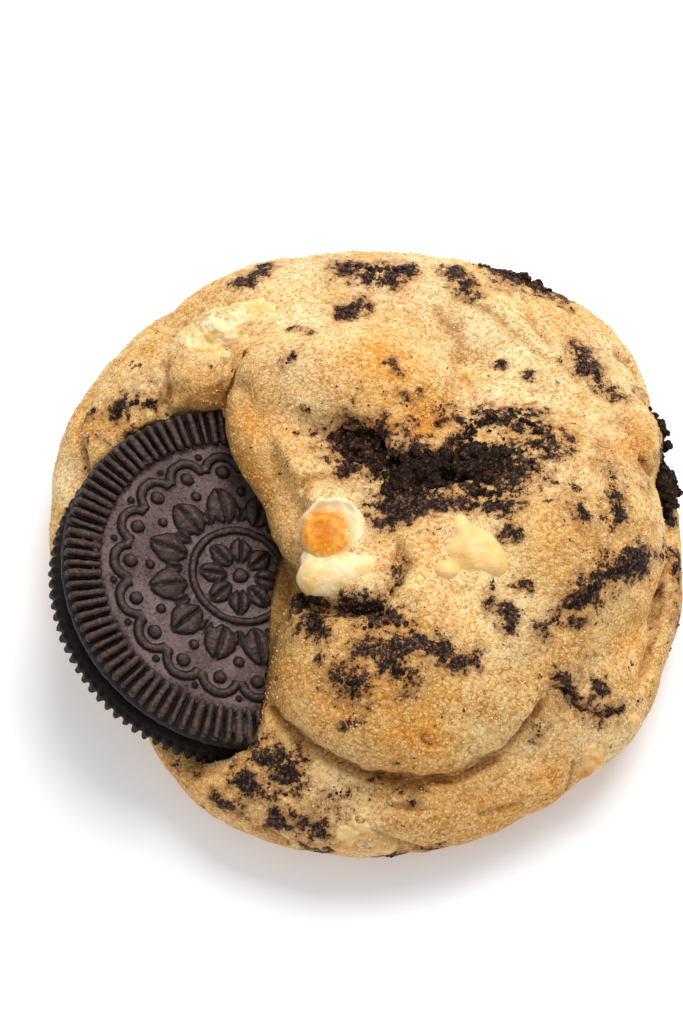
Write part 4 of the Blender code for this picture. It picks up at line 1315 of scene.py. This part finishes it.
def beyond_break():
    """All that was broken off."""
    far = WAFER_RADIUS + 3
    edge = [-far + 2 * far * step / 40 for step in range(41)]
    outline = []
    for along in edge:
        ragged = 0.28 * noise.noise(Vector((along * 0.9, 3.0, 0)))
        ragged += 0.12 * noise.noise(Vector((along * 3.1, 9.0, 0)))
        outline.append((broken_edge(along) + ragged, along))
    outline += [(2 * far, far), (2 * far, -far)]
    return slab("broken_off", outline, [(-WAFER_SPACING - 4, 0, 0), (4, 0, 0)])


def turn_over(piece):
    """Turns a piece of one wafer's frame face down, for the other wafer."""
    shape = points_of(piece)
    shape[:, 2] = -shape[:, 2] - WAFER_SPACING
    set_points(piece, shape)
    piece.data.flip_normals()


def finish_wafer(wafer, face_down, voxel):
    """Runs the parts together, breaks the wafer, roughens it and puts it in its place."""
    modify(wafer, "REMESH", mode="VOXEL", voxel_size=voxel * MM)
    cutter = beyond_break()
    if face_down:
        turn_over(cutter)
    carve(wafer, cutter)
    modify(wafer, "SMOOTH", factor=0.5, iterations=2)
    shape = points_of(wafer)
    rough = 0.09 * bumps(shape, 1.5, 11.0) + 0.06 * bumps(shape, 0.6, 12.0, octaves=2)
    set_points(wafer, shape + normals_of(wafer) * rough[:, None])
    if face_down:
        turn_over(wafer)
    wafer.data.transform(WAFER_PLACE)


wafer_finish, tree, shader = new_material("chocolate_wafer")
place = put(tree, "TexCoord").outputs["Object"]
# heights in the wafer's own frame tell its crests from its field
back = WAFER_PLACE.inverted()
sockets = {"Vector": place, "Location": back.to_translation(), "Rotation": back.to_euler()}
flat = put(tree, "Mapping", sockets).outputs[0]
own_height = put(tree, "SeparateXYZ", {0: flat}).outputs["Z"]
broad = cloud(tree, place, 5.0, 4.0)
fine = cloud(tree, place, 0.45, 3.0, 0.6)
finest = cloud(tree, place, 0.16, 2.0)
colour = blend(tree, rise(tree, broad, 0.35, 0.68), paint(108, 88, 86), paint(76, 59, 56))
sparkle = rise(tree, cloud(tree, place, 0.22, 1.0), 0.60, 0.72)
colour = blend(tree, times(tree, sparkle, 0.45), colour, paint(150, 128, 124))
# painted shade: near black in the grooves below the field, and on the sides of the ridges and the
# raised pattern below their crests
colour = blend(tree, rise(tree, own_height, 0.98 * MM, 0.80 * MM), colour, paint(15, 9, 8))
relief_side_shade = rise(tree, own_height, (FIELD + 0.03) * MM, (FIELD + 0.12) * MM)
colour = blend(tree, relief_side_shade, colour, paint(15, 10, 9))
crest = rise(tree, own_height, (FIELD + 0.24) * MM, (FIELD + 0.50) * MM)
colour = blend(tree, crest, colour, paint(60, 44, 39))
# lighter brown on the crests: partly wear, partly painted highlight
crest_wear_and_highlight = rise(tree, cloud(tree, place, 0.6, 3.0, 0.65), 0.54, 0.66)
crest_wear_and_highlight = times(tree, crest_wear_and_highlight, times(tree, crest, 0.6))
colour = blend(tree, crest_wear_and_highlight, colour, paint(104, 80, 70))
colour = blend(tree, times(tree, rise(tree, fine, 0.5, 0.7), 0.7), colour, paint(18, 12, 11))
fleck = specks(tree, place, 0.9, 1, 0.26, -0.14)
colour = blend(tree, times(tree, fleck, 0.5), colour, paint(120, 68, 46))
rough = times_plus(tree, crest, -0.2, times_plus(tree, fine, 0.5, 0.36))
height = times_plus(tree, fine, 1.0, times(tree, finest, 0.5))
wire(tree, shader, colour, rough, height, 0.13)
set_shader(shader, Specular_IOR_Level=0.28, Specular_Tint=(1.0, 0.84, 0.76, 1))

# The lower wafer lies face down, and its rim shows as teeth
for name, lower, voxel in (("upper_wafer", False, 0.17), ("lower_wafer", True, 0.2)):
    wafer = press_wafer("pressed_" + name, lower)
    finish_wafer(wafer, lower, voxel)
    dress(wafer, wafer_finish)
    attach(wafer, "root")
    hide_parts(name)

CREAM_BOTTOM = -WAFER_SPACING + 1.3
profile = (
    (0, CREAM_BOTTOM), (18.8, CREAM_BOTTOM), (19.5, CREAM_BOTTOM + 0.4), (19.7, -2.45),
    (19.4, -1.7), (18.7, WAFER_BACK), (0, WAFER_BACK),
)
cream = turned(profile, "cream_layer", 96)
carve(cream, beyond_break())
modify(cream, "REMESH", mode="VOXEL", voxel_size=0.35 * MM)
shape = points_of(cream)
edge = np.hypot(shape[:, 0], shape[:, 1]) > 18
set_points(cream, shape + normals_of(cream) * (0.25 * bumps(shape, 3.0, 14.0) * edge)[:, None])
cream.data.transform(WAFER_PLACE)
cream_finish, tree, shader = new_material("cream")
place = put(tree, "TexCoord").outputs["Object"]
colour = blend(tree, cloud(tree, place, 2.0), paint(244, 236, 218), paint(228, 214, 188))
wire(tree, shader, colour, None, cloud(tree, place, 0.6, 3.0), 0.1)
set_shader(shader, Roughness=0.55, Subsurface_Weight=0.1, Subsurface_Scale=1.0 * MM)
dress(cream, cream_finish)
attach(cream, "root")
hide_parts("cream_filling")

# ---------------------------------------------------------------- white chocolate
# Chips and broken chunks of white chocolate that softened in the oven and slumped into the dough.
# One chip on top has caramelised in its middle.

BROWNED_MIDDLE = (-4.9, -4.4, 24.4)


def chip_material(name, browned):
    """White chocolate, either with a caramelised middle or golden on its sides."""
    finish, tree, shader = new_material(name)
    place = put(tree, "TexCoord").outputs["Object"]
    grain = sandy_grain(tree, place, 2400.0)
    soft = cloud(tree, place, 2.6, 3.0)
    paler = paint(250, 228, 186) if browned else paint(244, 217, 168)
    darker = paint(246, 218, 166) if browned else paint(235, 192, 114)
    colour = blend(tree, rise(tree, soft, 0.38, 0.62), paler, darker)
    lighter = times(tree, rise(tree, grain["Light"], 0.5, 0.8), 0.3)
    colour = blend(tree, lighter, colour, paint(250, 228, 184))
    speck = specks(tree, place, 1.0, 0, 0.2, -0.10)
    colour = blend(tree, times(tree, speck, 0.7), colour, paint(110, 70, 44))
    if browned:
        middle = put(tree, "Mapping", {"Vector": place, "Location": -Vector(BROWNED_MIDDLE) * MM})
        sockets = {0: middle.outputs[0], 1: (1.0, 1.0, 0.4)}
        stretched = put(tree, "VectorMath", sockets, operation="MULTIPLY").outputs[0]
        away = put(tree, "VectorMath", {0: stretched}, operation="LENGTH").outputs["Value"]
        wobble = times_plus(tree, soft, 1.6 * MM, away)
        burnt = rise(tree, wobble, 4.9 * MM, 3.2 * MM)
        patches = times_plus(tree, grain["Light"], 0.7, cloud(tree, place, 1.1, 3.0))
        patches = rise(tree, patches, 0.66, 1.08)
        sugary = blend(tree, patches, paint(212, 122, 6), paint(238, 164, 44))
        colour = blend(tree, burnt, colour, sugary)
        core = times(tree, rise(tree, wobble, 3.2 * MM, 1.4 * MM), 0.45)
        colour = blend(tree, core, colour, paint(200, 104, 2))
    # one side is a little more golden
    axes = put(tree, "SeparateXYZ", {0: place}).outputs
    side = rise(tree, axes["X"], 4 * MM, 9 * MM)
    golden = times(tree, side, rise(tree, soft, 0.7, 0.35))
    colour = blend(tree, times(tree, golden, 0.55), colour, paint(240, 186, 92))
    # those near the foot are baked darker
    foot = rise(tree, axes["Z"], 14 * MM, 9 * MM)
    mottled = times(tree, foot, rise(tree, cloud(tree, place, 1.8, 3.0), 0.3, 0.7))
    colour = blend(tree, times(tree, foot, 0.5), colour, paint(236, 190, 116))
    colour = blend(tree, mottled, colour, paint(208, 144, 62))
    wire(tree, shader, colour, None, grain["Height"], 0.05)
    set_shader(
        shader,
        Roughness=0.5,
        Specular_IOR_Level=0.3,
        Subsurface_Weight=0.06 if browned else 0.22,
        Subsurface_Radius=(1.0, 0.7, 0.35),
        Subsurface_Scale=1.2 * MM,
    )
    return finish


chip_slots = {"white_chocolate": False, "browned_white_chocolate": True}
chip_finishes = {slot: chip_material(slot, browned) for slot, browned in chip_slots.items()}
for number, (name, lumps) in enumerate(CHIPS.items()):
    chip = join([lump(name, *shape, detail=4) for shape in lumps], "melted_" + name)
    modify(chip, "REMESH", mode="VOXEL", voxel_size=0.16 * MM)
    modify(chip, "SMOOTH", factor=0.5, iterations=24)
    shape = points_of(chip)
    uneven = (0.12 if name == "white_chip_front" else 0.34) * bumps(shape, 2.4, 20.0 + number)
    uneven += 0.07 * bumps(shape, 0.8, 30.0 + number, octaves=2)
    shape += normals_of(chip) * uneven[:, None]
    # chunks are rougher, and the browned chip has its rim raised and its middle sunk
    if "chunk" in name:
        shape += normals_of(chip) * (0.45 * bumps(shape, 1.7, 27.0, octaves=3))[:, None]
    if name == "browned_chip":
        away = shape[:, :2] - np.array(RIM_MIDDLE)
        bearing = np.arctan2(away[:, 1], away[:, 0])
        radius = np.hypot(away[:, 0], away[:, 1]) * (1 + 0.12 * bumps(shape, 3.0, 25.0))
        rim = falloff(radius - RIM_RADIUS, RIM_WIDTH) * (0.75 + 0.3 * np.cos(bearing - 0.9))
        rim *= np.clip(0.7 + 1.1 * np.sin(bearing), 0, 1) * (1 + 0.7 * bumps(shape, 1.5, 26.0))
        shape[:, 2] += (rim - 0.3 * falloff(radius, 2.6)) * (shape[:, 2] > 22.5)
    set_points(chip, shape)
    modify(chip, "SMOOTH", factor=0.5, iterations=2)
    slot = "browned_white_chocolate" if name == "browned_chip" else "white_chocolate"
    dress(chip, chip_finishes[slot])
    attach(chip, "root")
    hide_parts(name)

# ---------------------------------------------------------------- cookie crumb
# Crushed chocolate wafer, kneaded into the dough: clumps where it gathered in the folds, and loose
# crumbs strewn wherever the cocoa shows.

# Each clump: middle, half sizes and turn
CLUMPS = {
    "crumb_crevice_left": ((-1.0, 8.4, 21.2), (4.8, 2.9, 1.8), -28),
    "crumb_crevice_middle": ((6.2, 3.8, 23.1), (5.2, 3.6, 1.6), 30),
    "crumb_crevice_right": ((14.2, 4.6, 24.0), (4.4, 3.4, 1.5), 10),
    "crumb_edge_upper": ((35.7, 15.2, 13.0), (1.8, 4.0, 3.0), 20),
    "crumb_edge_lower": ((37.0, 7.6, 11.8), (1.8, 3.8, 3.2), 8),
    "crumb_back": ((19.4, 34.6, 15.4), (4.4, 1.9, 1.7), -28),
    "crumb_low_left": ((-10.4, -31.4, 11.6), (3.4, 2.4, 1.5), -20),
}
crumb_finish, tree, shader = new_material("dark_crumb")
place = put(tree, "TexCoord").outputs["Object"]
grain = sandy_grain(tree, place, 2600.0)
shade = cloud(tree, place, 1.2, 3.0)
island = put(tree, "NewGeometry").outputs["Random Per Island"]
# lighter grains and crumbs: partly their own tone, partly painted glints
level = times_plus(tree, grain["Light"], 0.75, times(tree, island, 0.35))
colour = blend(tree, rise(tree, level, 0.54, 1.05), paint(26, 15, 11), paint(150, 100, 74))
colour = blend(tree, times(tree, rise(tree, shade, 0.5, 0.75), 0.3), colour, paint(44, 27, 21))
rough = times_plus(tree, grain["Light"], -0.5, 0.85)
wire(tree, shader, colour, rough, grain["Height"], 0.3)
set_shader(shader, Specular_IOR_Level=0.2, Specular_Tint=(1.0, 0.76, 0.62, 1))

# Each clump is a core with crumbs pressed onto it
CLUMP_CRUMBS, CLUMP_CORE = 60, 0.66
draw = random.Random(11)
for number, (name, (middle, half_sizes, turn)) in enumerate(CLUMPS.items()):
    parts = []
    angle = math.radians(turn)
    for _ in range(CLUMP_CRUMBS):
        bearing, out = draw.uniform(0, 2 * math.pi), math.sqrt(draw.random()) * 0.86
        x, y = half_sizes[0] * out * math.cos(bearing), half_sizes[1] * out * math.sin(bearing)
        z = draw.uniform(-0.3, 0.85) * half_sizes[2] * (1 - 0.5 * out)
        spot = (
            middle[0] + x * math.cos(angle) - y * math.sin(angle),
            middle[1] + x * math.sin(angle) + y * math.cos(angle),
            middle[2] + z,
        )
        size = draw.uniform(0.35, 0.95)
        sizes = (size, size * draw.uniform(0.6, 1.0), size * draw.uniform(0.5, 0.9))
        parts.append(lump(name, spot, sizes, draw.uniform(0, 180), 3.0, 2))
    core = [half * CLUMP_CORE for half in half_sizes]
    parts.append(lump(name, middle, core, turn, 2.0, 4))
    clump = join(parts, "clump_" + name)
    modify(clump, "REMESH", mode="VOXEL", voxel_size=0.15 * MM)
    shape = points_of(clump)
    uneven = 0.30 * bumps(shape, 0.8, 40.0 + number, octaves=3)
    uneven += 0.16 * np.array([noise.cell(Vector(point) / 0.5) for point in shape])
    set_points(clump, shape + normals_of(clump) * uneven[:, None])
    modify(clump, "SMOOTH", factor=0.5, iterations=1)
    dress(clump, crumb_finish)
    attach(clump, "root")
    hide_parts(name)


def crumb_models():
    """Six different crumbs, each a jagged ball about 1 mm across."""
    models = []
    for _ in range(6):
        deselect_all()
        bpy.ops.mesh.primitive_ico_sphere_add(subdivisions=1, radius=0.5)
        model = bpy.context.object
        shape = points_of(model) * MM
        shape *= np.array([draw.uniform(0.72, 1.18) for _ in shape])[:, None]
        faces = np.array([face.vertices[:] for face in model.data.polygons])
        models.append((shape, faces))
        bpy.data.objects.remove(model, do_unlink=True)
    return models


FULL_TURN = 6.28


def turn_matrix():
    """A random turn about each axis in order."""
    turns = [Matrix.Rotation(draw.uniform(0, FULL_TURN), 3, axis) for axis in "XYZ"]
    return np.array(turns[0] @ turns[1] @ turns[2])


def scatter(name, models, spots, finish):
    """Copies of the models at given places and sizes, joined into one piece."""
    all_points, all_faces, count = [], [], 0
    for spot, sizes in spots:
        shape, faces = models[draw.randrange(len(models))]
        all_points.append((shape * np.array(sizes)) @ turn_matrix().T + spot)
        all_faces.append(faces + count)
        count += len(shape)
    mesh = bpy.data.meshes.new(name)
    corners, faces = np.concatenate(all_points) * MM, np.concatenate(all_faces)
    mesh.from_pydata(corners.tolist(), [], faces.tolist())
    mesh.validate()
    made = bpy.data.objects.new(name, mesh)
    bpy.context.scene.collection.objects.link(made)
    mesh.materials.append(finish)
    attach(made, "root")


def strew(density, low, high, reach, narrowest):
    """Places and sizes of crumbs along the cocoa routes: how many to the square millimetre, from
    which size to which, and how far out in widths. Further from a route they get smaller."""
    spots = []
    for corners, width, strength in COCOA:
        if width < narrowest:
            continue
        line, _ = onto(surface, smooth_route(corners, 0.5))
        area = len(line) * width + 3.1 * width * width
        for _ in range(int(area * density * strength**2) + 1):
            away = abs(draw.gauss(0, reach))
            start = line[draw.randrange(len(line))] + width * away * unit_vector()
            spot, up, _, _ = surface.find_nearest(Vector(start) * MM)
            spot = np.array(spot) / MM
            if spot[2] < 0.8:
                continue
            size = draw.uniform(low, high) * max(0.45, 1 - 0.35 * away)
            spot += np.array(up) * size * 0.15
            spots.append((spot, (size, size * draw.uniform(0.55, 1), size * 0.7)))
    return spots


def unit_vector():
    way = np.array([draw.gauss(0, 1) for _ in range(3)])
    return way / np.linalg.norm(way)


# Density, smallest and largest size, reach, and the narrowest route that has any of them
LOOSE_CRUMBS = {
    "coarse_crumb": (2.4, 0.55, 1.25, 0.6, 1.15),
    "fine_crumb": (3.6, 0.22, 0.62, 1.0, 0.0),
}
for name, settings in LOOSE_CRUMBS.items():
    spots = strew(*settings)
    scatter(name, crumb_models(), spots, crumb_finish)

# ---------------------------------------------------------------- sugar
# Tiny crystals of sugar that did not melt in the oven. They stick to the dough wherever its top and
# its sides are free of crumb.

SUGAR_COUNT, SUGAR_SIZES = 5000, (0.10, 0.21)
sugar_finish, tree, shader = new_material("sugar")
set_shader(shader, Base_Color=paint(230, 190, 122), Roughness=0.45, Specular_IOR_Level=0.3)
deselect_all()
bpy.ops.mesh.primitive_cube_add(size=1.0)
crystal = bpy.context.object
shape = points_of(crystal) * MM
sides = np.array([face.vertices[:] for face in crystal.data.polygons])
crystals = []
for _ in range(4):
    crystals.append((shape * np.array([draw.uniform(0.8, 1.2) for _ in range(3)]), sides))
bpy.data.objects.remove(crystal, do_unlink=True)
points = points_of(dough)
normals = normals_of(dough)
bare = np.flatnonzero((normals[:, 2] > 0.15) & (points[:, 2] > 4) & (cocoa < 0.25))
spots = []
for _ in range(SUGAR_COUNT):
    at = bare[draw.randrange(len(bare))]
    size = draw.uniform(*SUGAR_SIZES)
    spot = points[at] + normals[at] * size * 0.15
    spots.append((spot, (size, size, size * draw.uniform(0.6, 1))))
scatter("sugar_grains", crystals, spots, sugar_finish)
